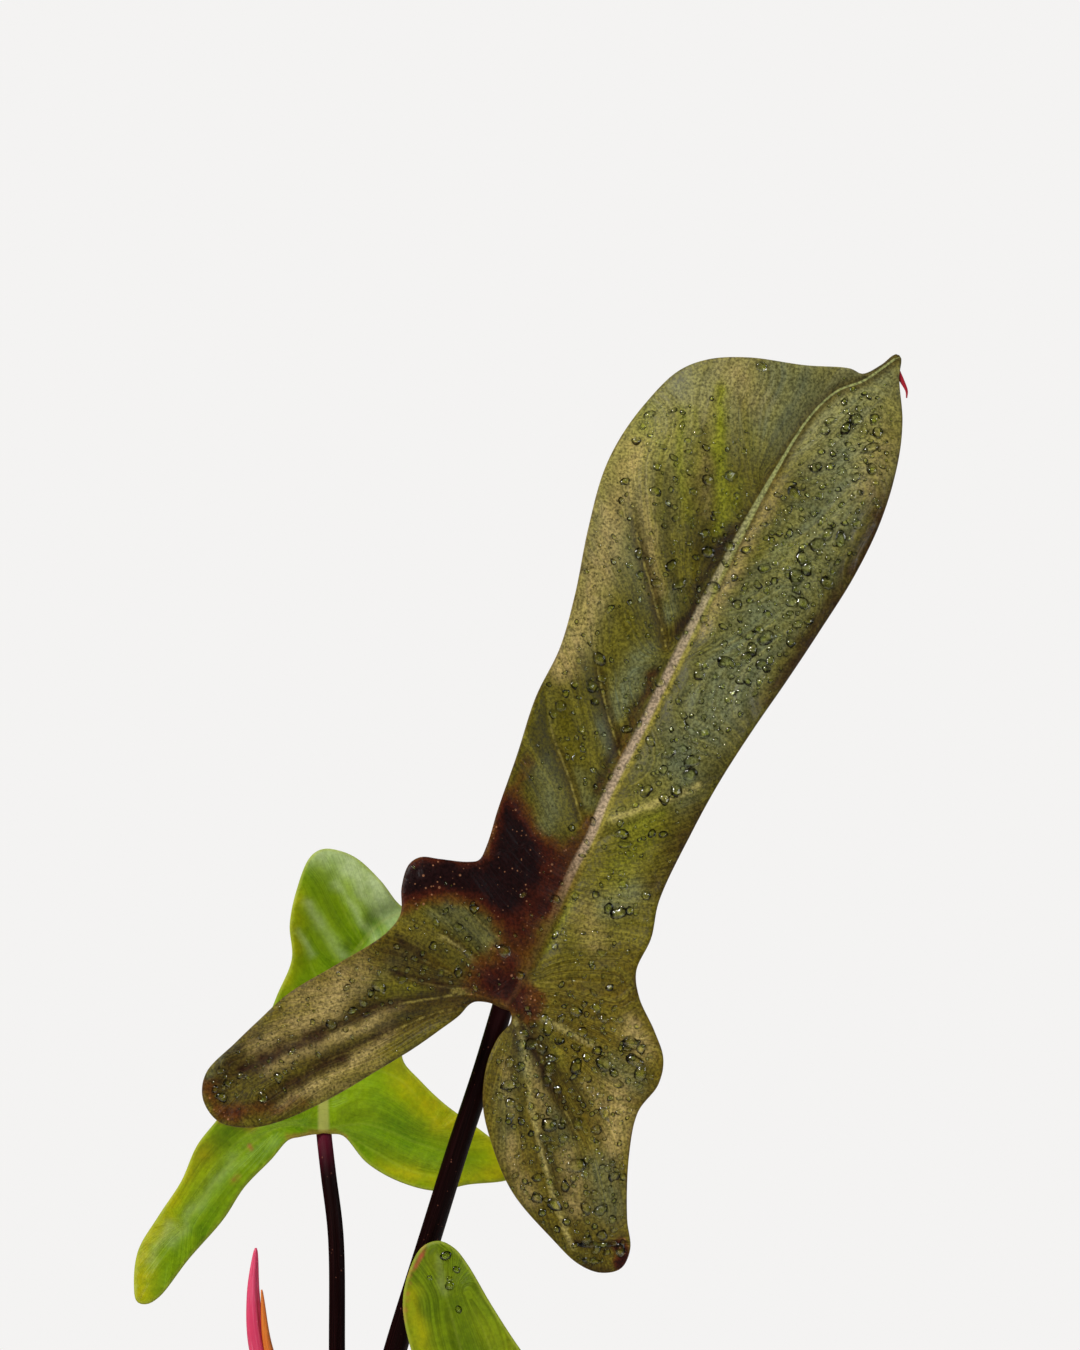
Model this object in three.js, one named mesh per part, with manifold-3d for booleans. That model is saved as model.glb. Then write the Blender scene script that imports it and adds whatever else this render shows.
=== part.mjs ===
// A potted florida bronze philodendron: three lobed leaves on dark stalks, a rolled new leaf in its pink sheath,
// a ringed stem with its roots, potting mix with bark, and a plain clay pot.
// Millimetres, +Z up, the leaves face -Y, and the origin is the centre of the pot's flat foot.

import * as THREE from "three";
import { mergeVertices } from "three/addons/utils/BufferGeometryUtils.js";
import Module from "manifold-3d";

const wasm = await Module();
wasm.setup();

// Driving dimensions

const CLEARANCE = 0.3; // the gap between neighbours that touch in life

const POT = {
  height: 115,
  footRadius: 43,
  collarRadius: 59,
  rimRadius: 65,
  rimHeight: 25,
  rimDraft: 1.8, // how much narrower the rim's band is at its lower edge
  rimRound: 0.8, // the small rounding below that edge
  wall: 4.5,
  wallSlope: 1, // how much the wall thins from the inner step up to the lip, and again on the lip
  collarRound: 0.5, // the small fillet under the rim
  floor: 6,
  edge: 1.5,
  sectors: 48,
};
const DRAIN_HOLE = { radius: 5, fromCentre: 22, count: 3 };

const MIX = {
  top: 102,
  swell: 2.2,
  swellRadius: 55,
  broadWave: { run: 9, turns: 3, twist: 20 },
  smallWave: { share: 0.6, run: 6, turns: 7 },
  edgeDip: 1,
  edgeRound: 3,
  facetGap: 0.2,
  rings: 7,
  sectors: 36,
};
const BARK = {
  count: 48,
  long: 14,
  wide: 9,
  thick: 5,
  smallest: 0.55, // share of the full size
  narrowest: 0.6, // share of the full width
  pinch: 0.22,
  topPinch: 0.75,
  tilt: 0.45,
  sink: 0.35,
  clearOfStem: 10,
  clearOfWall: 10,
  seed: 7,
};
const GOLDEN_ANGLE = Math.PI * (3 - Math.sqrt(5));

const STEM = {
  foot: 62,
  top: 166,
  footRadius: 8.5,
  topRadius: 6,
  ringRise: 1.3,
  ringReach: 1.7,
  crownFrom: 0.94, // the share of its height where the top starts to round off
  crownRound: 0.8,
  sway: [[0, 0, 0], [0.4, 0.3, 0.4], [-0.4, -0.2, 0.81], [-1, -0.3, 1]], // x, y and the share of its height
  sides: 12,
  steps: 52,
};
const STEM_RINGS = [112, 122, 131, 143, 157];
const ROOT = {
  count: 6,
  rise: 70,
  riseSpread: 14,
  start: 3,
  reach: 27,
  wander: 3,
  drop: 32,
  sag: 6,
  thick: 2.6,
  thin: 1.1,
  shares: [0, 0.3, 0.65, 1], // where along its length each root's path is set
  sides: 6,
  steps: 8,
  seed: 3,
};

const BLADE_THICKNESS = 0.8;
const BLADE_LATTICE = 4.7; // spacing of the points inside a blade
const BLADE_RIM_STEP = 3.5; // spacing of the points round a blade
const BLADE_JITTER = { reach: 0.3, seed: 11 }; // small shifts that keep the points off one even grid
// The least distance of a blade's inner points from its rim and from each other, by what they lie on.
const SPACING = { midrib: [1, 1], ribSides: [1.6, 1.4], veins: [1.8, 2.4], lattice: [2.1, 2.9] };
const FOLD_ROUND = 4; // how softly the blade's two halves meet at the midrib
const QUILT = { rise: 1.5, reach: 2.9 }; // how far the blade puffs up between its veins
const VEIN_FADE = [0.45, 1.05]; // the shares of a side vein's length between which its groove fades out
const RIB = { rise: 0.7, sharpness: 2, halfWidth: 1.9, keel: 2.2, keelTaper: 0.75 };
const SLOPE_REACH = 0.5; // the distance to each side over which a blade's slope is measured
const WAVE = { rise: 1.9, run: 9, reach: 9, clearOfRib: 12 }; // the waves of a blade's margin

// The leaves are drawn from the front on one sheet. Its columns run right and its rows run down, one unit is
// 0.24 mm, column 340 is above the centre of the pot, and row 1350 is 200 mm above the foot.
const SHEET = { unit: 0.24, centreColumn: 340, baseRow: 1350, baseHeight: 200 };

const BRONZE = {
  junction: [506, 1002],
  tip: [898, 355],
  depth: -20,
  thickness: BLADE_THICKNESS,
  outline: [
    [475, 1000], [468, 1004], [460, 1013], [440, 1028], [413, 1047], [380, 1067], [347, 1087], [313, 1105],
    [277, 1120], [250, 1125], [220, 1119], [205, 1097], [208, 1072], [237, 1042], [260, 1020], [290, 993],
    [340, 963], [387, 933], [402, 913], [403, 886], [410, 864], [421, 857], [440, 859], [468, 862],
    [480, 860], [488, 845], [499, 809], [518, 755], [537, 697], [561, 648], [576, 595], [589, 530],
    [604, 473], [620, 439], [644, 405], [678, 371], [708, 359], [749, 357], [807, 365], [851, 368],
    [864, 373], [883, 364], [898, 353], [902, 356], [900, 376], [903, 420], [898, 462], [881, 519],
    [854, 575], [820, 629], [786, 680], [752, 729], [718, 782], [690, 833], [658, 900], [650, 937],
    [635, 970], [638, 997], [653, 1030], [662, 1058], [657, 1083], [637, 1110], [628, 1153], [626, 1217],
    [629, 1247], [620, 1266], [600, 1270], [578, 1261], [553, 1237], [513, 1190], [492, 1140], [484, 1103],
    [488, 1063], [499, 1037], [512, 1021], [511, 1010], [500, 1005], [490, 1001],
  ],
  midrib: [
    [506, 1006], [517, 990], [533, 960], [553, 920], [575, 870], [603, 796], [640, 734], [683, 649],
    [732, 551], [773, 476], [813, 413], [840, 389], [864, 380], [896, 358],
  ],
  veins: [
    [1, [[506, 1004], [472, 993], [430, 998], [396, 1004], [365, 1012], [331, 1028], [284, 1044], [235, 1066]]],
    [0.3, [
      [508, 1004], [518, 1019], [523, 1044], [529, 1087], [537, 1131], [549, 1178], [562, 1219],
      [573, 1247],
    ]],
    [1, [[666, 646], [654, 598], [637, 534], [630, 466], [640, 425]]],
    [1, [[620, 755], [608, 714], [598, 670], [590, 610]]],
    [1, [[581, 819], [569, 778], [552, 731], [547, 690]]],
    [0.3, [[756, 497], [741, 450], [735, 405], [745, 375]]],
    [-0.9, [[605, 820], [650, 806], [698, 786]]],
    [0.35, [[672, 665], [718, 649], [759, 626], [790, 600]]],
    [0.25, [[719, 575], [760, 560], [810, 530], [850, 490]]],
    [0.2, [[771, 480], [820, 455], [870, 410]]],
    [0.9, [[485, 988], [450, 987], [420, 981], [394, 972], [370, 966]]],
    [0.9, [[480, 1002], [430, 1014], [390, 1032], [352, 1050], [321, 1062], [296, 1075], [262, 1096]]],
    [0.8, [[530, 960], [490, 930], [450, 890], [425, 872]]],
    [0.8, [[498, 978], [462, 948], [424, 924], [404, 914]]],
    [0.8, [[492, 992], [446, 970], [404, 952], [380, 946]]],
    [0.5, [[533, 983], [565, 980], [612, 984]]],
    [0.8, [[520, 1008], [573, 1033], [620, 1060], [645, 1066]]],
    [1, [[522, 1020], [534, 1040], [549, 1075], [562, 1104], [585, 1150], [600, 1210]]],
  ],
};

const GREEN = {
  junction: [323, 1130],
  tip: [368, 940],
  depth: 20,
  thickness: BLADE_THICKNESS,
  outline: [
    [317, 1134], [300, 1137], [288, 1140], [270, 1160], [243, 1188], [222, 1220], [187, 1260], [158, 1297],
    [146, 1304], [137, 1302], [134, 1285], [138, 1252], [158, 1218], [181, 1183], [197, 1147], [220, 1117],
    [245, 1075], [262, 1035], [277, 997], [292, 960], [290, 925], [297, 890], [310, 858], [322, 850],
    [340, 852], [357, 860], [380, 882], [399, 906], [414, 913], [428, 935], [442, 965], [440, 1000],
    [420, 1028], [402, 1046], [402, 1062], [420, 1083], [443, 1105], [480, 1132], [500, 1147], [520, 1158],
    [524, 1170], [509, 1180], [467, 1185], [437, 1191], [400, 1182], [367, 1163], [343, 1136], [330, 1134],
  ],
  midrib: [
    [323, 1132], [323, 1100], [325, 1060], [332, 1010], [345, 970], [361, 944], [382, 922], [408, 910],
  ],
  veins: [
    [0.8, [[322, 1130], [280, 1128], [230, 1165], [185, 1225], [150, 1280]]],
    [0.8, [[324, 1130], [365, 1125], [420, 1145], [470, 1160], [512, 1168]]],
    [0.8, [[361, 944], [345, 915], [330, 880], [322, 862]]],
    [0.8, [[345, 972], [318, 930], [305, 895]]],
    [0.8, [[333, 1008], [312, 970], [300, 940]]],
    [0.8, [[326, 1052], [300, 1020], [284, 990]]],
    [0.8, [[350, 965], [385, 975], [425, 985]]],
    [0.8, [[330, 1040], [360, 1020], [405, 1015]]],
    [0.8, [[324, 1080], [360, 1070], [395, 1078], [430, 1112]]],
    [0.8, [[300, 1120], [255, 1130], [215, 1165], [180, 1215]]],
    [0.8, [[335, 1128], [370, 1150], [410, 1172], [450, 1180]]],
  ],
};

const LOW = {
  junction: [486, 1440],
  tip: [826, 1628],
  depth: -25,
  thickness: BLADE_THICKNESS,
  outline: [
    [474, 1439], [450, 1420], [430, 1395], [412, 1347], [404, 1303], [410, 1270], [423, 1246], [439, 1240],
    [454, 1247], [467, 1263], [490, 1302], [518, 1345], [540, 1373], [566, 1384], [596, 1380], [622, 1392],
    [650, 1418], [685, 1440], [728, 1468], [772, 1506], [806, 1552], [824, 1600], [832, 1634], [824, 1638],
    [800, 1622], [760, 1608], [710, 1604], [655, 1598], [600, 1588], [552, 1570], [520, 1552], [494, 1550],
    [468, 1566], [440, 1566], [408, 1553], [365, 1556], [318, 1566], [284, 1564], [268, 1545], [274, 1520],
    [300, 1497], [340, 1475], [390, 1458], [440, 1450], [472, 1447],
  ],
  midrib: [
    [480, 1442], [520, 1452], [570, 1474], [625, 1506], [690, 1546], [755, 1586], [800, 1614], [826, 1632],
  ],
  veins: [
    [0.8, [[484, 1440], [478, 1400], [462, 1350], [448, 1300], [440, 1258]]],
    [0.8, [[484, 1443], [440, 1480], [380, 1505], [320, 1528], [288, 1540]]],
    [0.8, [[520, 1452], [530, 1420], [560, 1400]]],
    [0.8, [[570, 1474], [600, 1440], [625, 1415]]],
    [0.8, [[625, 1506], [670, 1475], [715, 1478]]],
    [0.8, [[690, 1546], [740, 1530], [785, 1545]]],
    [0.8, [[545, 1463], [530, 1500], [500, 1530]]],
    [0.8, [[600, 1490], [620, 1540], [610, 1575]]],
    [0.8, [[665, 1530], [690, 1565], [700, 1590]]],
    [0.8, [[490, 1440], [500, 1395], [490, 1345], [465, 1290]]],
    [0.8, [[470, 1460], [440, 1510], [400, 1530], [345, 1550]]],
  ],
};

// How each blade is bent, in its own length along the main lobe and across it: lean and bend tip it back, fold
// lifts its two halves, rollBack turns one margin away, and shoulder does so for the bronze leaf's left lobe.
const BRONZE_FORM = {
  lean: 0.2,
  bend: 0.0005,
  lobeBend: 0.0016,
  fold: 0.2,
  foldBetween: [-25, 20],
  rollBack: { bend: 0.018, from: 12, between: [95, 150] },
  shoulder: { bend: 0.012, from: 20, between: [-5, 20], until: [40, 70] },
};
const GREEN_FORM = { lean: 0.12, tipBend: 0.003, tipFrom: 30, fold: 0.12, foldBetween: [-20, 15], spread: 0.0012 };
const LOW_FORM = { lean: -0.12, bend: -0.0008, lobeLean: -0.03, fold: 0.16, foldBetween: [-20, 15] };

// Each stalk runs from inside the stem to its blade. Points are x, y, z.
const STALK_SHAPE = { sides: 10, steps: 28, footBetween: [0.03, 0.22], thinning: 0.12 };
const BRONZE_STALK = {
  path: [
    [0, 0, 150], [4, -3.4, 166], [8.6, -6, 183], [13.4, -8, 200.5], [21.8, -10.5, 227.6], [28.3, -12.4, 248.5],
    [34.4, -14.6, 267], [38.6, -16.6, 281], [39.9, -17.4, 285.4],
  ],
  radius: 2.9,
  footRadius: 4.6,
};
const GREEN_STALK = {
  path: [
    [0, 1, 136], [-0.6, 6, 152], [-0.8, 8.6, 172], [-0.5, 10.5, 200], [-1, 14, 227], [-2.4, 18, 242],
    [-3.8, 20.8, 251], [-4.1, 21.4, 254],
  ],
  radius: 1.95,
  footRadius: 3.6,
};
const LOW_STALK = {
  path: [
    [0, -1, 118], [3.6, -7.4, 131], [11, -12.8, 147], [21, -15.6, 163], [30, -17.8, 175], [34.6, -20.8, 179.4],
    [36, -22.4, 180.4],
  ],
  radius: 2.1,
  footRadius: 3.6,
};

const SHOOT_SHAPE = { sides: 10, steps: 20, taper: 0.75 };
const SHEATH = {
  path: [
    [-1.5, 0, 158], [-8, -0.3, 174], [-15, -0.4, 188], [-19.6, -0.2, 201], [-20.8, 0, 213],
    [-20.2, 0.2, 224.5],
  ],
  footRadius: 4.4,
  tipRadius: 0.5,
  flatness: 0.8,
};
const NEW_LEAF = {
  path: [[-1, -1.6, 158], [-6.4, -2.2, 174], [-13, -2.3, 188], [-17.3, -1.7, 201], [-18.8, -1.1, 214.5]],
  footRadius: 2.9,
  tipRadius: 0.5,
};

// Small tools

const smooth = (value, low, high) => THREE.MathUtils.smoothstep(value, low, high);
const toPoint = ([x, y, z]) => new THREE.Vector3(x, y, z);

function onSheet([column, row]) {
  const x = (column - SHEET.centreColumn) * SHEET.unit;
  const z = SHEET.baseHeight + (SHEET.baseRow - row) * SHEET.unit;
  return new THREE.Vector2(x, z);
}

// A repeatable stream of random numbers between 0 and 1.
function randomFrom(seed) {
  let state = seed;
  return () => {
    state = (state * 16807) % 2147483647;
    return state / 2147483647;
  };
}

// A geometry as a solid, with its doubled points merged and its collapsed faces left out.
function solid(geometry) {
  const bare = geometry.clone();
  bare.deleteAttribute("normal");
  bare.deleteAttribute("uv");
  const merged = mergeVertices(bare, 1e-4);
  const corners = merged.index.array;
  const kept = [];
  for (let i = 0; i < corners.length; i += 3) {
    const [a, b, c] = corners.slice(i, i + 3);
    if (a !== b && b !== c && c !== a) kept.push(a, b, c);
  }
  return new wasm.Manifold(
    new wasm.Mesh({
      numProp: 3,
      vertProperties: new Float32Array(merged.attributes.position.array),
      triVerts: new Uint32Array(kept),
    }),
  );
}

// The biggest body of a solid: what a cut leaves loose is dropped.
function biggest(shape) {
  return shape.decompose().reduce((best, body) => (body.volume() > best.volume() ? body : best));
}

// A shape with a neighbour cut from it, which leaves the clearance between them on every side.
function clearOf(shape, neighbour) {
  const gap = CLEARANCE;
  const shifts = [[gap, 0, 0], [-gap, 0, 0], [0, gap, 0], [0, -gap, 0], [0, 0, gap], [0, 0, -gap]];
  return shifts.reduce((left, shift) => left.subtract(neighbour.translate(shift)), shape.subtract(neighbour));
}

function geometryOf(shape) {
  const mesh = shape.getMesh();
  const flat = new Float32Array(mesh.numVert * 3);
  for (let i = 0; i < mesh.numVert; i++) {
    flat.set(mesh.vertProperties.subarray(i * mesh.numProp, i * mesh.numProp + 3), i * 3);
  }
  const geometry = new THREE.BufferGeometry();
  geometry.setAttribute("position", new THREE.BufferAttribute(flat, 3));
  geometry.setIndex(new THREE.BufferAttribute(new Uint32Array(mesh.triVerts), 1));
  geometry.computeVertexNormals();
  return geometry;
}

function fromFaces(points, faces) {
  const geometry = new THREE.BufferGeometry();
  geometry.setAttribute("position", new THREE.Float32BufferAttribute(points.flat(), 3));
  geometry.setIndex(faces.flat());
  return geometry;
}

// A closed tube along a smooth path. radiusAt(t) gives its radius from foot to tip, and flatness narrows it from
// front to back.
function limb(path, radiusAt, sides, steps, flatness = 1) {
  const curve = new THREE.CatmullRomCurve3(path.map(toPoint), false, "centripetal");
  const frames = curve.computeFrenetFrames(steps, false);
  const points = [];
  for (let i = 0; i <= steps; i++) {
    const centre = curve.getPointAt(i / steps);
    const radius = radiusAt(i / steps);
    const back = new THREE.Vector3(0, 1, 0).addScaledVector(frames.tangents[i], -frames.tangents[i].y).normalize();
    const across = new THREE.Vector3().crossVectors(back, frames.tangents[i]);
    for (let k = 0; k < sides; k++) {
      const turn = (2 * Math.PI * k) / sides;
      const point = centre.clone().addScaledVector(across, radius * Math.cos(turn));
      points.push(point.addScaledVector(back, radius * flatness * Math.sin(turn)).toArray());
    }
  }
  const foot = points.push(curve.getPointAt(0).toArray()) - 1;
  const tip = points.push(curve.getPointAt(1).toArray()) - 1;
  const faces = [];
  for (let k = 0; k < sides; k++) {
    const next = (k + 1) % sides;
    faces.push([foot, next, k], [tip, steps * sides + k, steps * sides + next]);
    for (let i = 0; i < steps; i++) {
      const low = i * sides;
      const high = low + sides;
      faces.push([low + k, high + next, high + k], [low + k, low + next, high + next]);
    }
  }
  return solid(fromFaces(points, faces));
}

// Leaf blades

// Points at even steps along a smooth line through hand-set points.
function stepped(line, step, closed = false) {
  const curve = new THREE.CatmullRomCurve3(
    line.map(onSheet).map((p) => new THREE.Vector3(p.x, 0, p.y)),
    closed,
    "centripetal",
  );
  const count = Math.max(2, Math.round(curve.getLength() / step));
  const points = curve.getSpacedPoints(count).map((p) => new THREE.Vector2(p.x, p.z));
  return closed ? points.slice(0, -1) : points;
}

// The distance from a point to a line of points, the length along it to there, and the side: +1 is right of it.
function nearestOn(line, point) {
  let best = { gap: Infinity, along: 0, side: 1 };
  let travelled = 0;
  for (let i = 0; i + 1 < line.length; i++) {
    const step = line[i + 1].clone().sub(line[i]);
    const length = step.length();
    const offset = point.clone().sub(line[i]);
    const share = THREE.MathUtils.clamp(offset.dot(step) / (length * length), 0, 1);
    const gap = offset.distanceTo(step.clone().multiplyScalar(share));
    if (gap < best.gap) {
      best = { gap, along: travelled + share * length, side: step.cross(offset) > 0 ? -1 : 1 };
    }
    travelled += length;
  }
  return best;
}

function isInside(rim, point) {
  let inside = false;
  rim.forEach((a, i) => {
    const b = rim[(i + 1) % rim.length];
    const crosses = a.y > point.y !== b.y > point.y;
    if (crosses && point.x < ((b.x - a.x) * (point.y - a.y)) / (b.y - a.y) + a.x) inside = !inside;
  });
  return inside;
}

// Delaunay triangles of points in a plane, each anticlockwise: every point in turn opens the triangles whose
// circles hold it and closes the gap with triangles of its own.
function delaunay(points) {
  const far = 5000; // well outside every leaf
  const all = [...points, new THREE.Vector2(-far, -far), new THREE.Vector2(far, -far), new THREE.Vector2(0, far)];
  const withCircle = (a, b, c) => {
    const [p, q, r] = [all[a], all[b], all[c]];
    const d = 2 * (p.x * (q.y - r.y) + q.x * (r.y - p.y) + r.x * (p.y - q.y));
    const [pp, qq, rr] = [p.lengthSq(), q.lengthSq(), r.lengthSq()];
    const x = (pp * (q.y - r.y) + qq * (r.y - p.y) + rr * (p.y - q.y)) / d;
    const y = (pp * (r.x - q.x) + qq * (p.x - r.x) + rr * (q.x - p.x)) / d;
    return { corners: [a, b, c], x, y, reach: (p.x - x) ** 2 + (p.y - y) ** 2 };
  };
  let triangles = [withCircle(points.length, points.length + 1, points.length + 2)];
  points.forEach((point, index) => {
    const opened = triangles.filter((t) => (point.x - t.x) ** 2 + (point.y - t.y) ** 2 < t.reach);
    const edges = new Map();
    for (const { corners } of opened) {
      for (let k = 0; k < 3; k++) {
        const [a, b] = [corners[k], corners[(k + 1) % 3]];
        if (!edges.delete(`${b},${a}`)) edges.set(`${a},${b}`, [a, b]);
      }
    }
    const stale = new Set(opened);
    triangles = triangles.filter((t) => !stale.has(t));
    for (const [a, b] of edges.values()) triangles.push(withCircle(a, b, index));
  });
  return triangles.map((t) => t.corners).filter((corners) => corners.every((c) => c < points.length));
}

// The blade's plan: its points, with those of the rim first, and its triangles.
function planOf(leaf) {
  const draw = randomFrom(BLADE_JITTER.seed);
  const jitter = () => (draw() - 0.5) * BLADE_JITTER.reach;
  let rim = stepped(leaf.outline, BLADE_RIM_STEP, true);
  if (THREE.ShapeUtils.area(rim) < 0) rim.reverse();
  const rimLine = [...rim, rim[0]];
  const inner = [];
  const add = (point, [fromRim, fromOthers]) => {
    const p = new THREE.Vector2(point.x + jitter(), point.y + jitter());
    const free = inner.every((q) => q.distanceTo(p) > fromOthers);
    if (free && isInside(rim, p) && nearestOn(rimLine, p).gap > fromRim) inner.push(p);
  };
  const midrib = stepped(leaf.midrib, BLADE_RIM_STEP);
  midrib.forEach((p) => add(p, SPACING.midrib));
  midrib.slice(1).forEach((p, i) => {
    const along = p.clone().sub(midrib[i]).normalize();
    const across = new THREE.Vector2(along.y, -along.x).multiplyScalar(RIB.halfWidth);
    add(p.clone().add(across), SPACING.ribSides);
    add(p.clone().sub(across), SPACING.ribSides);
  });
  for (const [, line] of leaf.veins) {
    for (const p of stepped(line, BLADE_RIM_STEP)) add(p, SPACING.veins);
  }
  const box = new THREE.Box2().setFromPoints(rim);
  const rowStep = BLADE_LATTICE * Math.sin(Math.PI / 3);
  for (let row = 0; box.min.y + row * rowStep < box.max.y; row++) {
    const shift = (row % 2) * (BLADE_LATTICE / 2);
    for (let x = box.min.x + shift; x < box.max.x; x += BLADE_LATTICE) {
      add(new THREE.Vector2(x, box.min.y + row * rowStep), SPACING.lattice);
    }
  }
  // A rim edge that the triangles miss is halved until none is.
  for (;;) {
    const points = [...rim, ...inner];
    const triangles = delaunay(points).filter((corners) => {
      const middle = corners.reduce((sum, c) => sum.add(points[c]), new THREE.Vector2()).divideScalar(3);
      return isInside(rim, middle);
    });
    const edges = new Set(triangles.flatMap(([a, b, c]) => [`${a},${b}`, `${b},${c}`, `${c},${a}`]));
    const whole = rim.flatMap((p, i) => {
      const next = (i + 1) % rim.length;
      return edges.has(`${i},${next}`) ? [p] : [p, p.clone().lerp(rim[next], 0.5)];
    });
    if (whole.length === rim.length) return { points, triangles, rimCount: rim.length };
    rim = whole;
  }
}

// The depth of the soft valley that a blade's two halves make along the midrib.
function foldAt(fromRib, along, [low, high]) {
  return (Math.hypot(fromRib, FOLD_ROUND) - FOLD_ROUND) * smooth(along, low, high);
}

// The next three say how far back (+Y) each blade's large form lies at a point, from the junction. along runs to
// the tip of the main lobe, across runs right of that, and fromRib is the distance to the midrib.
function bronzeForm({ along, across, fromRib, side }) {
  const { lean, bend, lobeBend, fold, foldBetween, rollBack, shoulder } = BRONZE_FORM;
  const leaning = lean * along + (along > 0 ? bend : lobeBend) * along * along;
  const rolled = rollBack.bend * Math.max(0, fromRib - rollBack.from) ** 2 * smooth(along, ...rollBack.between);
  const turned = shoulder.bend * Math.max(0, -across - shoulder.from) ** 2 * smooth(along, ...shoulder.between);
  const kept = 1 - smooth(along, ...shoulder.until);
  return leaning - fold * foldAt(fromRib, along, foldBetween) + (side < 0 ? rolled : 0) + turned * kept;
}

function greenForm({ along, across, fromRib }) {
  const { lean, tipBend, tipFrom, fold, foldBetween, spread } = GREEN_FORM;
  const leaning = lean * along + tipBend * Math.max(0, along - tipFrom) ** 2;
  return leaning - fold * foldAt(fromRib, along, foldBetween) + spread * across * across;
}

function lowForm({ along, fromRib }) {
  const { lean, bend, lobeLean, fold, foldBetween } = LOW_FORM;
  const leaning = along > 0 ? lean * along + bend * along * along : lobeLean * along;
  return leaning - fold * foldAt(fromRib, along, foldBetween);
}

// A blade as one thin closed sheet: its front face, the same face moved back, and the rim between them.
function blade(leaf, form) {
  const { points, triangles, rimCount } = planOf(leaf);
  const rimLine = [...points.slice(0, rimCount), points[0]];
  const junction = onSheet(leaf.junction);
  const axis = onSheet(leaf.tip).sub(junction).normalize();
  const midrib = stepped(leaf.midrib, 1);
  const midribLength = midrib.length - 1;
  const veins = leaf.veins.map(([depth, line]) => ({ depth, line: stepped(line, 1) }));
  // 1 in the grooves of the veins, 0 between them and below 0 on a vein that stands up
  const grooveAt = (p) => {
    const dents = veins.map(({ depth, line }) => {
      const near = nearestOn(line, p);
      const kept = 1 - smooth(near.along / (line.length - 1), ...VEIN_FADE);
      return depth * kept * Math.exp(-((near.gap / QUILT.reach) ** 2));
    });
    dents.push(Math.exp(-((nearestOn(midrib, p).gap / QUILT.reach) ** 2)));
    return Math.max(0, ...dents) + Math.min(0, ...dents);
  };
  const largeForm = (p) => {
    const offset = p.clone().sub(junction);
    const near = nearestOn(midrib, p);
    const place = { along: offset.dot(axis), across: offset.cross(axis), fromRib: near.gap, side: near.side };
    const fromEdge = nearestOn(rimLine, p).gap;
    const share = Math.exp(-fromEdge / WAVE.reach) * smooth(near.gap, 0, WAVE.clearOfRib);
    return leaf.depth + form(place) + WAVE.rise * share * Math.sin(place.along / WAVE.run + near.side);
  };
  const front = points.map((p) => {
    const near = nearestOn(midrib, p);
    const puff = QUILT.rise * (1 - grooveAt(p));
    const ridge = Math.exp(-((near.gap / RIB.halfWidth) ** 2) * RIB.sharpness);
    const rib = RIB.rise * ridge * (1 - near.along / midribLength);
    return new THREE.Vector3(p.x, largeForm(p) - puff - rib, p.y);
  });
  const outward = points.map((p) => {
    const d = SLOPE_REACH;
    const formAt = (x, y) => largeForm(new THREE.Vector2(p.x + x, p.y + y));
    const slopeX = (formAt(d, 0) - formAt(-d, 0)) / (2 * d);
    const slopeZ = (formAt(0, d) - formAt(0, -d)) / (2 * d);
    return new THREE.Vector3(-slopeX, 1, -slopeZ).normalize();
  });
  const back = front.map((p, i) => {
    const near = nearestOn(midrib, points[i]);
    const taper = 1 - RIB.keelTaper * (near.along / midribLength);
    const keel = RIB.keel * taper * Math.exp(-((near.gap / RIB.halfWidth) ** 2));
    return p.clone().addScaledVector(outward[i], leaf.thickness + keel);
  });
  const total = points.length;
  const faces = triangles.flatMap(([a, b, c]) => [[a, b, c], [total + a, total + c, total + b]]);
  for (let i = 0; i < rimCount; i++) {
    const next = (i + 1) % rimCount;
    faces.push([i, total + i, total + next], [i, total + next, next]);
  }
  return solid(fromFaces([...front, ...back].map((p) => p.toArray()), faces));
}

// The stem with its rings and roots

function stem(grow = 0) {
  const height = STEM.top - STEM.foot;
  const path = STEM.sway.map(([x, y, share]) => [x, y, STEM.foot + height * share]);
  const radiusAt = (t) => {
    const z = STEM.foot + height * t;
    const taper = THREE.MathUtils.lerp(STEM.footRadius, STEM.topRadius, t);
    const rings = STEM_RINGS.reduce((sum, ring) => sum + Math.exp(-(((z - ring) / STEM.ringReach) ** 2)), 0);
    const rounding = Math.max(0, t - STEM.crownFrom) / (1 - STEM.crownFrom);
    const crown = Math.sqrt(1 - STEM.crownRound * rounding ** 2);
    return (taper + STEM.ringRise * rings) * crown + grow;
  };
  let shape = limb(path, radiusAt, STEM.sides, STEM.steps);
  const draw = randomFrom(ROOT.seed);
  for (let k = 0; k < ROOT.count; k++) {
    const turn = (2 * Math.PI * (k + 0.5 * draw())) / ROOT.count;
    const out = new THREE.Vector2(Math.cos(turn), Math.sin(turn));
    const rise = ROOT.rise + ROOT.riseSpread * draw();
    const points = ROOT.shares.map((t) => {
      const reach = ROOT.start + ROOT.reach * Math.sqrt(t) + ROOT.wander * draw();
      return [out.x * reach, out.y * reach, rise - ROOT.drop * t * t - ROOT.sag * t];
    });
    const radiusOf = (t) => THREE.MathUtils.lerp(ROOT.thick, ROOT.thin, t) + grow;
    shape = shape.add(limb(points, radiusOf, ROOT.sides, ROOT.steps));
  }
  return shape;
}

// A stalk: broad where it clasps the stem, then slender and even.
function stalk({ path, radius, footRadius }) {
  const { sides, steps, footBetween, thinning } = STALK_SHAPE;
  const swell = (t) => (footRadius - radius) * (1 - smooth(t, ...footBetween));
  return limb(path, (t) => radius + swell(t) - thinning * radius * t, sides, steps);
}

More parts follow.
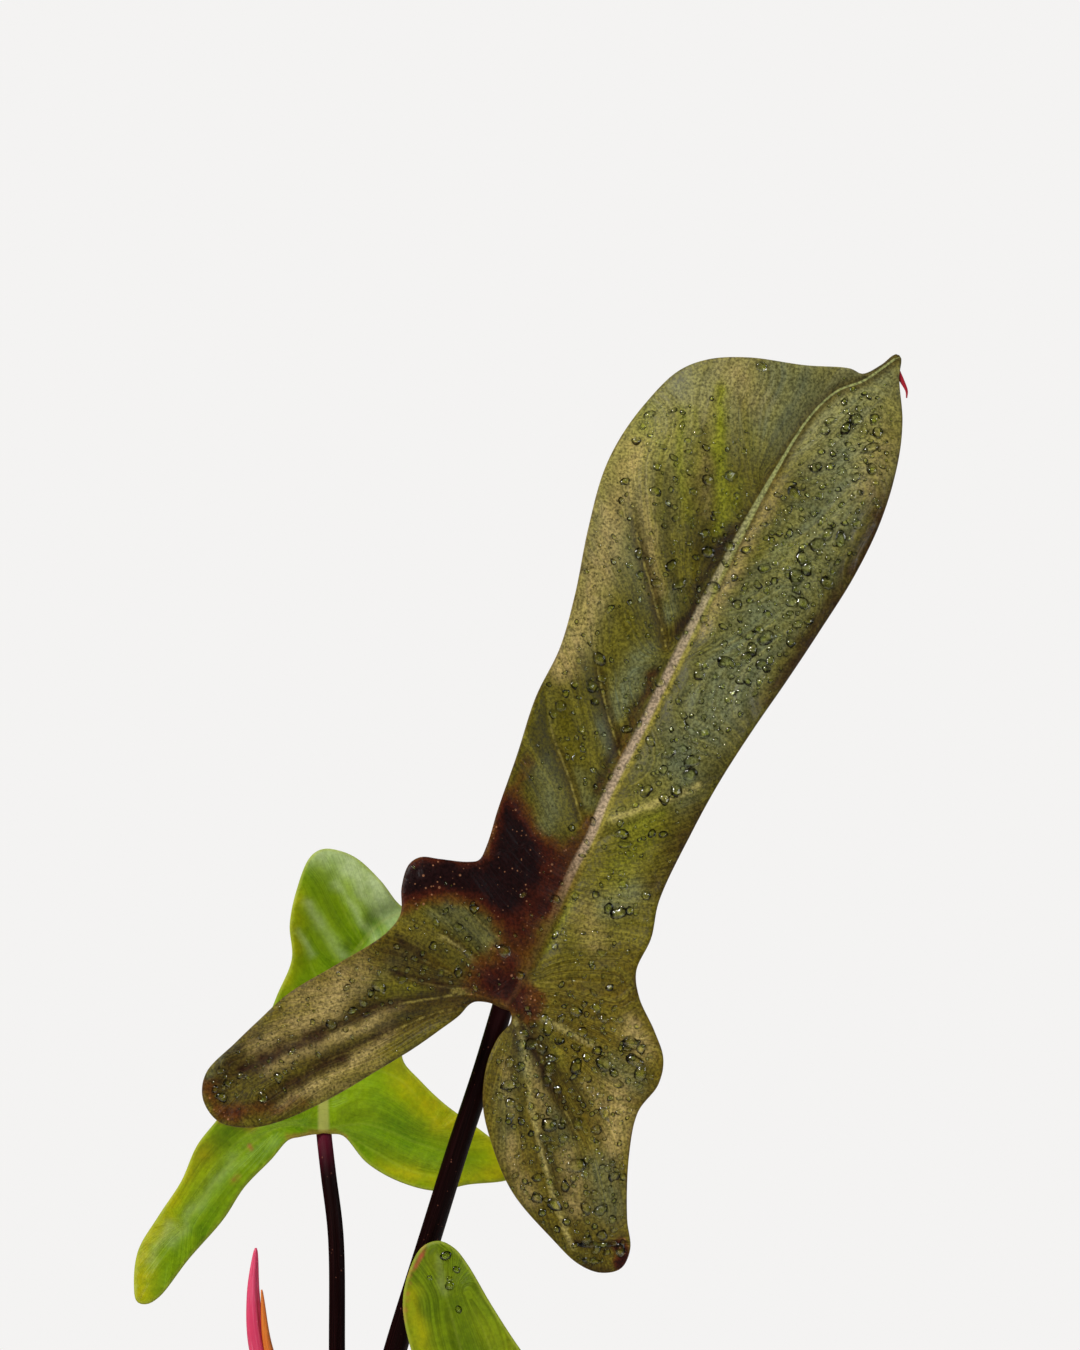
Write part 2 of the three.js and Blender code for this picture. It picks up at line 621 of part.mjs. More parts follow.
function shoot({ path, footRadius, tipRadius, flatness = 1 }, grow = 0) {
  const { sides, steps, taper } = SHOOT_SHAPE;
  return limb(path, (t) => tipRadius + (footRadius - tipRadius) * (1 - t) ** taper + grow, sides, steps, flatness);
}

// The pot and the potting mix

// A closed shape turned about the Z axis from radius and height pairs, from the axis at the foot round to the axis.
function turned(profile, sectors) {
  const points = profile.map(([radius, height]) => new THREE.Vector2(radius, height));
  return solid(new THREE.LatheGeometry(points, sectors).rotateX(Math.PI / 2));
}

// The outer radius of the pot's tapered body at a height.
function bodyRadius(height) {
  const share = height / (POT.height - POT.rimHeight);
  return THREE.MathUtils.lerp(POT.footRadius, POT.collarRadius, share);
}

function pot() {
  const { height, rimRadius, rimHeight, rimDraft, rimRound, wall, wallSlope, collarRound, floor, edge } = POT;
  const { footRadius, collarRadius, sectors } = POT;
  const band = height - rimHeight;
  const outside = [
    [0, 0], [footRadius - edge, 0], [footRadius, edge], [bodyRadius(band / 2), band / 2],
    [collarRadius - collarRound, band - 2 * collarRound], [collarRadius + collarRound, band],
    [rimRadius - rimDraft - rimRound, band], [rimRadius - rimDraft, band + edge], [rimRadius, height - edge],
    [rimRadius - edge * 0.4, height - edge * 0.3], [rimRadius - edge, height],
  ];
  const inside = [
    [rimRadius - wall - wallSlope, height], [rimRadius - wall - 2 * wallSlope, height - edge],
    [collarRadius - wall + wallSlope, band], [bodyRadius(floor) - wall, floor], [0, floor],
  ];
  const shell = turned([...outside, ...inside], sectors);
  let cut = shell;
  for (let k = 0; k < DRAIN_HOLE.count; k++) {
    const turn = (2 * Math.PI * k) / DRAIN_HOLE.count;
    const drill = new THREE.CylinderGeometry(DRAIN_HOLE.radius, DRAIN_HOLE.radius, floor * 3, 16);
    drill.rotateX(Math.PI / 2);
    drill.translate(Math.cos(turn) * DRAIN_HOLE.fromCentre, Math.sin(turn) * DRAIN_HOLE.fromCentre, floor / 2);
    cut = cut.subtract(solid(drill));
  }
  return cut;
}

// The radius of the pot's inner wall at a height, which the mix fills but for the clearance.
function mixRadius(height) {
  const band = POT.height - POT.rimHeight;
  const atBand = POT.collarRadius - POT.wall + POT.wallSlope;
  if (height <= band) {
    const atFloor = bodyRadius(POT.floor) - POT.wall;
    return THREE.MathUtils.mapLinear(height, POT.floor, band, atFloor, atBand) - CLEARANCE;
  }
  const atTop = POT.rimRadius - POT.wall - 2 * POT.wallSlope;
  return THREE.MathUtils.mapLinear(height, band, POT.height - POT.edge, atBand, atTop) - CLEARANCE;
}

function mixHeight(radius, turn) {
  const { top, swell, swellRadius, broadWave, smallWave } = MIX;
  const broad = Math.sin(radius / broadWave.run + 1) * Math.cos(turn * broadWave.turns + radius / broadWave.twist);
  const small = smallWave.share * Math.cos(turn * smallWave.turns - radius / smallWave.run);
  return top + swell * ((broad + small) / 2 + 1 - radius / swellRadius);
}

function pottingMix() {
  const band = POT.height - POT.rimHeight;
  const points = [];
  const foot = POT.floor + CLEARANCE;
  const edgeHeight = MIX.top - MIX.edgeDip;
  const ring = (radius, heightAt) => {
    for (let k = 0; k < MIX.sectors; k++) {
      const turn = (2 * Math.PI * k) / MIX.sectors;
      points.push([radius * Math.cos(turn), radius * Math.sin(turn), heightAt(turn)]);
    }
  };
  // The facets of the pot's inner wall run inside its circle, so the mix keeps inside them too.
  const inFacet = Math.cos(Math.PI / POT.sectors);
  for (const height of [foot, band, edgeHeight]) ring(mixRadius(height) * inFacet - MIX.facetGap, () => height);
  for (let j = MIX.rings; j > 0; j--) {
    const radius = (mixRadius(MIX.top) - MIX.edgeRound) * (j / MIX.rings);
    ring(radius, (turn) => mixHeight(radius, turn));
  }
  const rings = MIX.rings + 3;
  const low = points.push([0, 0, foot]) - 1;
  const high = points.push([0, 0, mixHeight(0, 0)]) - 1;
  const faces = [];
  for (let k = 0; k < MIX.sectors; k++) {
    const next = (k + 1) % MIX.sectors;
    faces.push([low, next, k], [high, (rings - 1) * MIX.sectors + k, (rings - 1) * MIX.sectors + next]);
    for (let j = 0; j + 1 < rings; j++) {
      const inner = j * MIX.sectors;
      const outer = inner + MIX.sectors;
      faces.push([inner + k, inner + next, outer + next], [inner + k, outer + next, outer + k]);
    }
  }
  let shape = solid(fromFaces(points, faces));
  const draw = randomFrom(BARK.seed);
  const between = (low, high) => low + (high - low) * draw();
  for (let n = 0; n < BARK.count; n++) {
    const room = mixRadius(MIX.top) - BARK.clearOfStem - BARK.clearOfWall;
    const radius = BARK.clearOfStem + room * Math.sqrt((n + 0.5) / BARK.count);
    const turn = n * GOLDEN_ANGLE;
    const size = between(BARK.smallest, 1);
    const width = BARK.wide * between(BARK.narrowest, 1) * size;
    const chip = new THREE.BoxGeometry(BARK.long * size, width, BARK.thick * size);
    const corners = chip.attributes.position;
    for (let i = 0; i < corners.count; i++) {
      const [x, y, z] = [corners.getX(i), corners.getY(i), corners.getZ(i)];
      // Each corner is pulled in by its own amount, so that no chip is a plain block.
      const pinch = 1 - BARK.pinch * Math.abs(Math.sin(n * 1.7 + Math.sign(x) * 2 + Math.sign(y)));
      corners.setXYZ(i, x * pinch, y * pinch, z * (z > 0 ? BARK.topPinch : 1));
    }
    chip.rotateX(between(-BARK.tilt, BARK.tilt));
    chip.rotateY(between(-BARK.tilt, BARK.tilt));
    chip.rotateZ(between(0, Math.PI));
    const height = mixHeight(radius, turn) + BARK.thick * size * (0.5 - BARK.sink);
    chip.translate(radius * Math.cos(turn), radius * Math.sin(turn), height);
    shape = shape.add(solid(chip));
  }
  return shape;
}

// The whole plant

const stemShape = stem();
const aroundStem = stem(CLEARANCE);

const bronzeBlade = blade(BRONZE, bronzeForm);
const greenBlade = blade(GREEN, greenForm);
const lowBlade = blade(LOW, lowForm);

const bronzeStalk = biggest(clearOf(stalk(BRONZE_STALK).subtract(aroundStem), bronzeBlade));
const greenStalk = biggest(clearOf(stalk(GREEN_STALK).subtract(aroundStem), greenBlade));
const lowStalk = biggest(clearOf(stalk(LOW_STALK).subtract(aroundStem), lowBlade));

const newLeaf = biggest(shoot(NEW_LEAF).subtract(aroundStem));
const sheath = biggest(shoot(SHEATH).subtract(aroundStem).subtract(shoot(NEW_LEAF, CLEARANCE)));

const mixShape = biggest(pottingMix().subtract(aroundStem));

const plant = new THREE.Group();

function addPiece(name, shape, color, roughness) {
  const material = new THREE.MeshStandardMaterial({ color, roughness, metalness: 0 });
  const mesh = new THREE.Mesh(geometryOf(shape), material);
  mesh.name = name;
  plant.add(mesh);
}

addPiece("pot", pot(), 0xb5683f, 0.85);
addPiece("potting_mix", mixShape, 0x4a3424, 0.95);
addPiece("main_stem", stemShape, 0x6f7d3a, 0.6);
addPiece("bronze_leaf_blade", bronzeBlade, 0x6b6230, 0.35);
addPiece("bronze_leaf_stalk", bronzeStalk, 0x2a0c0c, 0.35);
addPiece("green_leaf_blade", greenBlade, 0x6f9412, 0.35);
addPiece("green_leaf_stalk", greenStalk, 0x33100f, 0.35);
addPiece("low_leaf_blade", lowBlade, 0x65780f, 0.35);
addPiece("low_leaf_stalk", lowStalk, 0x33100f, 0.35);
addPiece("pink_sheath", sheath, 0xcf4a70, 0.4);
addPiece("new_leaf_roll", newLeaf, 0xbb651a, 0.4);

export default plant;
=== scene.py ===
# %% [markdown]
# # A potted florida bronze philodendron
# A young climbing house plant: one large olive-bronze leaf wet with drops, a green leaf behind it, a low
# green leaf, a pink sheath with a rolled new leaf, a ringed stem, potting mix and a plain clay pot. The
# solids of all these pieces are a fixed frame of true sizes. Everything here is built round that frame in
# its own place: each piece gets its fine surface, its colours and its gloss.

# %% Load the frame
import math

import bpy
import numpy as np
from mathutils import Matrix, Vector, noise
from mathutils.geometry import delaunay_2d_cdt


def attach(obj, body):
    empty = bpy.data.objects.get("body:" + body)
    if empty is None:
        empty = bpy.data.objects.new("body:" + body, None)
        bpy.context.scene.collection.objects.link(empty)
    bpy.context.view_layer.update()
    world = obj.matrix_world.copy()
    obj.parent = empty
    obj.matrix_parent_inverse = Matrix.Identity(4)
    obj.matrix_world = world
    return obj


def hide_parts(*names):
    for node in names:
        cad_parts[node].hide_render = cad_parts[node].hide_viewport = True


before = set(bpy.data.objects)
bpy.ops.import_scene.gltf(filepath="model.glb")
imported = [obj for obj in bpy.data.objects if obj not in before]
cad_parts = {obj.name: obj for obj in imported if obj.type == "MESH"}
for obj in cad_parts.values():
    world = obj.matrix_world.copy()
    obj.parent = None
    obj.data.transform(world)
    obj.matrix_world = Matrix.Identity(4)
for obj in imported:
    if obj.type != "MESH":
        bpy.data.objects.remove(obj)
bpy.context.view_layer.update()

MM = 0.001

# %% [markdown]
# ## One drawing sheet for every leaf
# A leaf's outline can be modelled by eye in the viewport, or set down as a few points on a flat sheet and
# joined by a smooth line. The sheet is used here, because the same few points then also place the veins,
# the colours and the camera. One unit of the sheet is 0.24 mm, its columns run right and its rows run down.

# %% The sheet
SHEET = {"unit": 0.24, "columns": 1080, "rows": 1350, "centre_column": 340, "base_height": 200}


def on_sheet(points):
    """Places on the sheet as x and z in millimetres."""
    spots = np.asarray(points, dtype=float).reshape(-1, 2)
    x = (spots[:, 0] - SHEET["centre_column"]) * SHEET["unit"]
    z = SHEET["base_height"] + (SHEET["rows"] - spots[:, 1]) * SHEET["unit"]
    return np.column_stack([x, z])


print("top right corner of the sheet in mm:", on_sheet([SHEET["columns"], 0])[0])

# %% [markdown]
# ## The camera
# The leaves face the camera, which looks level along +Y at the middle of the sheet. A short lens close by
# would swell what lies in front. A long lens from eight metres keeps the leaf's true proportions, so it is
# used.

# %% Camera
CAMERA_DISTANCE = 8.0
SENSOR = 36.0

camera_data = bpy.data.cameras.new("camera")
camera = bpy.data.objects.new("camera", camera_data)
bpy.context.scene.collection.objects.link(camera)
sheet_middle = on_sheet([SHEET["columns"] / 2, SHEET["rows"] / 2])[0] * MM
sheet_height = SHEET["rows"] * SHEET["unit"] * MM
camera.location = (sheet_middle[0], -CAMERA_DISTANCE, sheet_middle[1])
camera.rotation_euler = (math.radians(90), 0, 0)
camera_data.sensor_width = SENSOR
camera_data.lens = SENSOR * CAMERA_DISTANCE / sheet_height
camera_data.clip_end = 50
bpy.context.scene.camera = camera
print("lens in mm:", round(camera_data.lens))

# %% [markdown]
# ## Nodes in few words
# A finish is a net of shader nodes. Each could be made by hand with many lines that add a node, set it and
# link it. This small helper does these three steps in one call, so that a material reads as a list of its
# layers.


# %% A helper for node trees
class Net:
    """Adds nodes to one tree and returns their outputs."""

    def __init__(self, tree):
        self.tree = tree

    def add(self, kind, inputs=None, **settings):
        made = self.tree.nodes.new(kind)
        for name, value in settings.items():
            setattr(made, name, value)
        self.fill(made, inputs or {})
        return made

    def fill(self, node, inputs):
        for name, value in inputs.items():
            self.put(node.inputs[name], value)

    def put(self, socket, value):
        if isinstance(value, bpy.types.NodeSocket):
            self.tree.links.new(value, socket)
        else:
            socket.default_value = value

    def math(self, operation, first, second=0.0, third=0.0):
        made = self.add("ShaderNodeMath", {0: first, 1: second, 2: third}, operation=operation)
        return made.outputs[0]

    def times(self, *factors):
        product = factors[0]
        for factor in factors[1:]:
            product = self.math("MULTIPLY", product, factor)
        return product

    def mix(self, share, first, second, way="MIX"):
        made = self.add("ShaderNodeMix", {0: share, 6: first, 7: second}, data_type="RGBA", blend_type=way)
        return made.outputs[2]

    def over(self, base, layer, *shares):
        """A colour laid over another with the product of some shares."""
        return self.mix(self.times(*shares), base, layer)

    def between(self, *numbers):
        """A soft step from a value, the low and high ends that it runs through, and what these two become."""
        made = self.add("ShaderNodeMapRange", dict(enumerate(numbers)), interpolation_type="SMOOTHSTEP")
        return made.outputs[0]

    def vector(self, operation, *values):
        """The result of a vector operation: a number for a length or a dot product."""
        made = self.add("ShaderNodeVectorMath", dict(enumerate(values)), operation=operation)
        return made.outputs["Value" if operation in ("LENGTH", "DOT_PRODUCT") else "Vector"]

    def scaled(self, vector, factor):
        return self.add("ShaderNodeVectorMath", {0: vector, "Scale": factor}, operation="SCALE").outputs[0]

    def split(self, vector):
        return self.add("ShaderNodeSeparateXYZ", {0: vector}).outputs

    def join(self, x=0.0, y=0.0, z=0.0):
        return self.add("ShaderNodeCombineXYZ", {0: x, 1: y, 2: z}).outputs[0]

    def blend(self, share, first, second):
        """The first shader, changing to the second as the share goes from 0 to 1."""
        return self.add("ShaderNodeMixShader", {0: share, 1: first, 2: second}).outputs[0]

    def bump(self, height, strength, distance):
        made = self.add("ShaderNodeBump", {"Height": height, "Strength": strength, "Distance": distance})
        return made.outputs[0]

    def noise(self, place, scale, detail=2.0, roughness=0.5, distortion=0.0):
        settings = {"Vector": place, "Scale": scale, "Detail": detail, "Roughness": roughness}
        return self.add("ShaderNodeTexNoise", {**settings, "Distortion": distortion}).outputs["Fac"]

    def attribute(self, name):
        return self.add("ShaderNodeAttribute", attribute_name=name).outputs["Fac"]

    def place(self):
        return self.add("ShaderNodeTexCoord").outputs["Object"]

    def group(self, tree, **inputs):
        """The mask of a shared effect on the piece's own place."""
        made = self.add("ShaderNodeGroup", {"Place": self.place()}, node_tree=tree)
        for name, value in inputs.items():
            self.put(made.inputs[name.replace("_", " ").capitalize()], value)
        return made.outputs[0]


def colour(red, green, blue):
    """A colour on the 0 to 255 scale, as the linear numbers that a shader takes."""
    shares = [value / 255 for value in (red, green, blue)]
    linear = [s / 12.92 if s <= 0.04045 else ((s + 0.055) / 1.055) ** 2.4 for s in shares]
    return (*linear, 1.0)


def new_material(name):
    """A material with one Principled shader: its net and that shader."""
    material = bpy.data.materials.new(name)
    material.use_nodes = True
    net = Net(material.node_tree)
    return material, net, material.node_tree.nodes["Principled BSDF"]


# %% [markdown]
# ## The studio
# Soft light can come from a bright sky or from wide lamps. Both are used: a pale surrounding that the
# camera sees as the backdrop, and three broad lamps out of sight that give the wet leaves their shine. The
# floor is a pale disc whose outer part fades into the backdrop, so no edge of it shows from any side.

# %% Surroundings and floor
BACKDROP = colour(244, 243, 242)
SKY_LIGHT = 0.3
SKY_SHINE = 0.05
FLOOR_RADIUS = 2.2
FLOOR_FADE = (0.7, 1.9)

bpy.context.scene.view_settings.view_transform = "Standard"
world = bpy.data.worlds.new("surroundings")
bpy.context.scene.world = world
world.use_nodes = True
sky = Net(world.node_tree)
world.node_tree.nodes.clear()
seen = sky.add("ShaderNodeBackground", {"Color": BACKDROP, "Strength": 1.0})
rays = sky.add("ShaderNodeLightPath").outputs
unseen_light = sky.between(rays["Is Glossy Ray"], 0.0, 1.0, SKY_LIGHT, SKY_SHINE)
unseen = sky.add("ShaderNodeBackground", {"Color": BACKDROP, "Strength": unseen_light})
by_ray = sky.blend(rays["Is Camera Ray"], unseen.outputs[0], seen.outputs[0])
sky.add("ShaderNodeOutputWorld", {"Surface": by_ray})

bpy.ops.mesh.primitive_circle_add(vertices=128, radius=FLOOR_RADIUS, fill_type="NGON")
floor = bpy.context.object
floor.name = "studio_floor"
floor_finish, net, shader = new_material("studio floor")
net.fill(shader, {"Base Color": colour(236, 233, 230), "Roughness": 0.8})
radius = net.vector("LENGTH", net.place())
seen_by_camera = net.add("ShaderNodeLightPath").outputs["Is Camera Ray"]
glow_strength = net.between(seen_by_camera, 0.0, 1.0, SKY_SHINE, 1.0)
glow = net.add("ShaderNodeEmission", {"Color": BACKDROP, "Strength": glow_strength})
fade = net.blend(net.between(radius, *FLOOR_FADE), shader.outputs[0], glow.outputs[0])
net.put(floor_finish.node_tree.nodes["Material Output"].inputs["Surface"], fade)
floor.data.materials.append(floor_finish)
print("floor radius in m:", FLOOR_RADIUS)

# %% Lamps
LIT_POINT = Vector((0.03, 0.0, 0.3))
KEY_PLACE = (-1.25, -1.0, 1.9)


def lamp(name, place, size, power, tint=(1.0, 1.0, 1.0)):
    """A wide square lamp that shines at the middle of the plant and isn't seen itself."""
    data = bpy.data.lights.new(name, "AREA")
    data.shape = "SQUARE"
    data.size = size
    data.energy = power
    data.color = tint
    made = bpy.data.objects.new(name, data)
    bpy.context.scene.collection.objects.link(made)
    made.location = place
    made.rotation_euler = (LIT_POINT - Vector(place)).to_track_quat("-Z", "Y").to_euler()
    made.visible_camera = False


lamp("key", KEY_PLACE, 0.6, 70.0, (1.0, 0.98, 0.95))
lamp("side", (1.6, -0.6, 1.0), 0.8, 14.0, (0.9, 0.96, 1.0))
lamp("rear", (0.3, 1.5, 1.5), 1.0, 12.0)

# %% [markdown]
# ## Smooth lines on the sheet
# A drawn line has only the points that its shape needs. A Bezier curve object could join them, but its
# handles would have to be set too. A centripetal Catmull-Rom curve goes through every point by itself and
# never loops where points lie close together, so it is used for outlines, veins and stalks alike.


# %% Smooth lines
def smooth_line(points, step, closed=False, fine=24):
    """Points at even steps on the centripetal curve through hand-set points."""
    spots = np.asarray(points, dtype=float)
    if closed:
        spots = np.vstack([spots[-1], spots, spots[0], spots[1]])
    else:
        spots = np.vstack([2 * spots[0] - spots[1], spots, 2 * spots[-1] - spots[-2]])
    shares = np.linspace(0, 1, fine, endpoint=False)[:, None]
    pieces = []
    for before, first, second, after in zip(spots, spots[1:], spots[2:], spots[3:]):
        steps = (first - before, second - first, after - second)
        r, s, t = [math.sqrt(np.linalg.norm(step)) for step in steps]
        leave = (steps[0] / r - (second - before) / (r + s) + steps[1] / s) * s
        arrive = (steps[1] / s - (after - first) / (s + t) + steps[2] / t) * s
        bend = 3 * (second - first) - 2 * leave - arrive
        turn = 2 * (first - second) + leave + arrive
        pieces.append(first + leave * shares + bend * shares**2 + turn * shares**3)
    pieces.append(spots[-2][None, :])
    dense = np.vstack(pieces)
    lengths = np.concatenate([[0], np.cumsum(np.linalg.norm(np.diff(dense, axis=0), axis=1))])
    count = max(2, round(lengths[-1] / step))
    stops = np.linspace(0, lengths[-1], count + 1)
    line = np.column_stack([np.interp(stops, lengths, dense[:, axis]) for axis in range(dense.shape[1])])
    return line[:-1] if closed else line


def nearest_on(line, points):
    """For each point: the gap to a line, the length along it to there, and the side, +1 right of it."""
    best = np.full(len(points), np.inf)
    along = np.zeros(len(points))
    side = np.ones(len(points))
    travelled = 0.0
    for start, end in zip(line, line[1:]):
        step = end - start
        length = math.hypot(*step)
        offset = points - start
        share = np.clip(offset @ step / length**2, 0, 1)
        gap = np.hypot(*(offset - share[:, None] * step).T)
        closer = gap < best
        best[closer] = gap[closer]
        along[closer] = travelled + share[closer] * length
        side[closer] = np.where(step[0] * offset[closer, 1] - step[1] * offset[closer, 0] > 0, -1, 1)
        travelled += length
    return best, along, side


def gap_to_rim(rim, points):
    """The distance of each point from a closed rim."""
    return nearest_on(np.vstack([rim, rim[:1]]), points)[0]


def smooth_share(value, low, high):
    """0 below low, 1 above high and a soft step between."""
    share = np.clip((value - low) / (high - low), 0, 1)
    return share * share * (3 - 2 * share)


def is_inside(rim, points):
    """True for each point inside a closed rim."""
    inside = np.zeros(len(points), dtype=bool)
    x, z = points.T
    for a, b in zip(rim, np.roll(rim, -1, axis=0)):
        if a[1] != b[1]:
            crosses = (a[1] > z) != (b[1] > z)
            inside ^= crosses & (x < (b[0] - a[0]) * (z - a[1]) / (b[1] - a[1]) + a[0])
    return inside


# %% [markdown]
# ## What shapes a blade
# Between its veins a leathery blade puffs up like a quilt, its midrib stands up as a low ridge, and its
# margin waves. Sculpting would give this by hand, but here each form is a formula of the distance to the
# nearest vein, to the midrib or to the rim. The same distances then tell the shader where a vein or a
# margin is.

# %% The forms of a blade
BLADE_THICKNESS = 0.55
LATTICE = 0.95
VEIN_CLEARANCE = 0.5
RIM_CLEARANCE = 0.55
RIM_STEP = 0.8
RIM_ROUND = 0.22
FOLD_ROUND = 4
SLOPE_REACH = 0.5
QUILT = {"rise": 1.5, "reach": 2.9}
RIDGE = {"rise": 0.16, "run": 4.2}
RIB = {"rise": 0.7, "half_width": 1.9, "keel": 2.2}
WAVE = {"rise": 1.9, "run": 9, "reach": 9, "clear_of_rib": 12}
PUCKER = {"rise": 0.16, "size": 5.0}
VEIN_SPACING = 7.0
VEIN_FADE = (0.45, 1.05)
STROKE_DRIFT = {"size": 4.0, "reach": 1.2, "seed": 7}
STROKE_STEP = 2.0


def read_drawing(leaf):
    """The lines of a leaf's drawing as smooth lines in millimetres."""
    junction, tip = on_sheet(leaf["junction"])[0], on_sheet(leaf["tip"])[0]
    rim = smooth_line(on_sheet(leaf["outline"]), RIM_STEP, closed=True)
    area = np.sum(rim[:, 0] * np.roll(rim[:, 1], -1) - rim[:, 1] * np.roll(rim[:, 0], -1))
    veins = [smooth_line(on_sheet(line), LATTICE) for _, line in leaf["veins"]]
    return {
        "junction": junction,
        "axis": (tip - junction) / np.linalg.norm(tip - junction),
        "rim": rim if area > 0 else rim[::-1],
        "midrib": smooth_line(on_sheet(leaf["midrib"]), LATTICE),
        "veins": veins,
        "vein_depths": [depth for depth, _ in leaf["veins"]],
    }


def large_form(drawing, points, depth, form):
    """How far back each point lies: the blade's lean, folds and waves, without its veins."""
    offset = points - drawing["junction"]
    axis = drawing["axis"]
    from_rib, _, side = nearest_on(drawing["midrib"], points)
    along = offset @ axis
    across = offset[:, 0] * axis[1] - offset[:, 1] * axis[0]
    from_edge = gap_to_rim(drawing["rim"], points)
    share = np.exp(-from_edge / WAVE["reach"]) * smooth_share(from_rib, 0, WAVE["clear_of_rib"])
    wave = WAVE["rise"] * share * np.sin(along / WAVE["run"] + side)
    return depth + form(along, across, from_rib, side) + wave


def fold_at_rib(from_rib, along, low, high):
    """The blade's two halves rise towards the camera on each side of the midrib."""
    return (np.hypot(from_rib, FOLD_ROUND) - FOLD_ROUND) * smooth_share(along, low, high)


def bronze_form(along, across, from_rib, side):
    lean = 0.2 * along + np.where(along > 0, 0.0005, 0.0016) * along**2
    fold = 0.2 * fold_at_rib(from_rib, along, -25, 20)
    rolled = 0.018 * np.maximum(0, from_rib - 12) ** 2 * smooth_share(along, 95, 150) * (side < 0)
    shoulder = 0.012 * np.maximum(0, -across - 20) ** 2 * smooth_share(along, -5, 20)
    return lean - fold + rolled + shoulder * (1 - smooth_share(along, 40, 70))


def green_form(along, across, from_rib, side):
    lean = 0.12 * along + 0.003 * np.maximum(0, along - 30) ** 2
    return lean - 0.12 * fold_at_rib(from_rib, along, -20, 15) + 0.0012 * across**2


def low_form(along, across, from_rib, side):
    lean = np.where(along > 0, -0.12 * along - 0.0008 * along**2, -0.03 * along)
    return lean - 0.16 * fold_at_rib(from_rib, along, -20, 15)


# %% [markdown]
# ## From a drawing to a blade
# A blade could be a grid that is cut at the rim, which leaves a stepped edge. Delaunay triangles of an even
# lattice, held to the rim's own points, follow the outline exactly, so they are used. The front is moved
# back by the thickness to make the underside, and a third ring of points between them rounds the edge.


# %% Triangles of a blade
def lattice_inside(drawing):
    """Points inside the rim: some along every vein, so that it stays a sharp line, and an even lattice."""
    rim = drawing["rim"]
    low, high = rim.min(axis=0), rim.max(axis=0)
    rows = np.arange(low[1], high[1], LATTICE * math.sqrt(0.75))
    columns = np.arange(low[0], high[0], LATTICE)
    spots = np.array([(x + (row % 2) * LATTICE / 2, z) for row, z in enumerate(rows) for x in columns])
    for line in [drawing["midrib"], *drawing["veins"]]:
        spots = spots[nearest_on(line, spots)[0] > LATTICE * VEIN_CLEARANCE]
    spots = np.vstack([spots, drawing["midrib"], *drawing["veins"]])
    spots = spots[is_inside(rim, spots)]
    return spots[gap_to_rim(rim, spots) > LATTICE * RIM_CLEARANCE]


def blade_plan(drawing):
    """The blade's flat points and triangles, and the edges of its rim, the blade on their left."""
    rim = drawing["rim"]
    points = [Vector(p) for p in np.vstack([rim, lattice_inside(drawing)])]
    edges = [(i, (i + 1) % len(rim)) for i in range(len(rim))]
    spots, _, triangles, *_ = delaunay_2d_cdt(points, edges, [list(range(len(rim)))], 1, 1e-5)
    for number, (a, b, c) in enumerate(triangles):
        if (spots[b] - spots[a]).cross(spots[c] - spots[a]) <= 0:
            triangles[number] = (c, b, a)
    directed = {(t[k], t[(k + 1) % 3]) for t in triangles for k in range(3)}
    border = [edge for edge in directed if edge[::-1] not in directed]
    return np.array([tuple(p) for p in spots]), np.array(triangles), np.array(sorted(border))


def vein_flow(drawing, points):
    """A number that keeps its value along each vein and changes evenly from one vein to the next."""
    total = np.zeros(len(points))
    weight = np.zeros(len(points))
    for number, line in enumerate(drawing["veins"]):
        gap, _, side = nearest_on(line, points)
        share = 1 / (gap**2 + 1)
        total += share * (number * VEIN_SPACING + side * gap)
        weight += share
    return total / weight


def paint(points, strokes):
    """A soft mask from 0 to 1 made of strokes along lines and of patches within closed lines.

    Each has its points on the sheet, the width in mm of its soft edge and a strength, and a patch says so. The
    strokes drift a little. The noise for that would start from the clock, so its seed is set: each run is alike.
    """
    noise.seed_set(STROKE_DRIFT["seed"])
    mask = np.zeros(len(points))
    drift = [noise.noise_vector((x / STROKE_DRIFT["size"], z / STROKE_DRIFT["size"], 0)) for x, z in points]
    points = points + STROKE_DRIFT["reach"] * np.array(drift)[:, :2]
    for spots, width, strength, *patch in strokes:
        places = on_sheet(spots)
        if patch:
            rim = smooth_line(places, STROKE_STEP, closed=True)
            gap = gap_to_rim(rim, points)
            amount = smooth_share(np.where(is_inside(rim, points), gap, -gap), -width, width)
        elif len(places) == 1:
            amount = np.exp(-np.sum((points - places[0]) ** 2, axis=1) / width**2)
        else:
            amount = np.exp(-((nearest_on(smooth_line(places, STROKE_STEP), points)[0] / width) ** 2))
        mask = 1 - (1 - mask) * (1 - strength * amount)
    return mask


def solid_mesh(name, points, faces, finish, attributes=None):
    """A smooth mesh in its own place, from points in millimetres, with numbers for the shader on them."""
    data = bpy.data.meshes.new(name)
    data.from_pydata((np.asarray(points) * MM).tolist(), [], [list(map(int, face)) for face in faces])
    for label, values in (attributes or {}).items():
        numbers = np.asarray(values, dtype=np.float32)
        data.attributes.new(label, "FLOAT", "POINT").data.foreach_set("value", numbers)
    data.materials.append(finish)
    data.shade_smooth()
    data.validate()
    made = bpy.data.objects.new(name, data)
    bpy.context.scene.collection.objects.link(made)
    return made


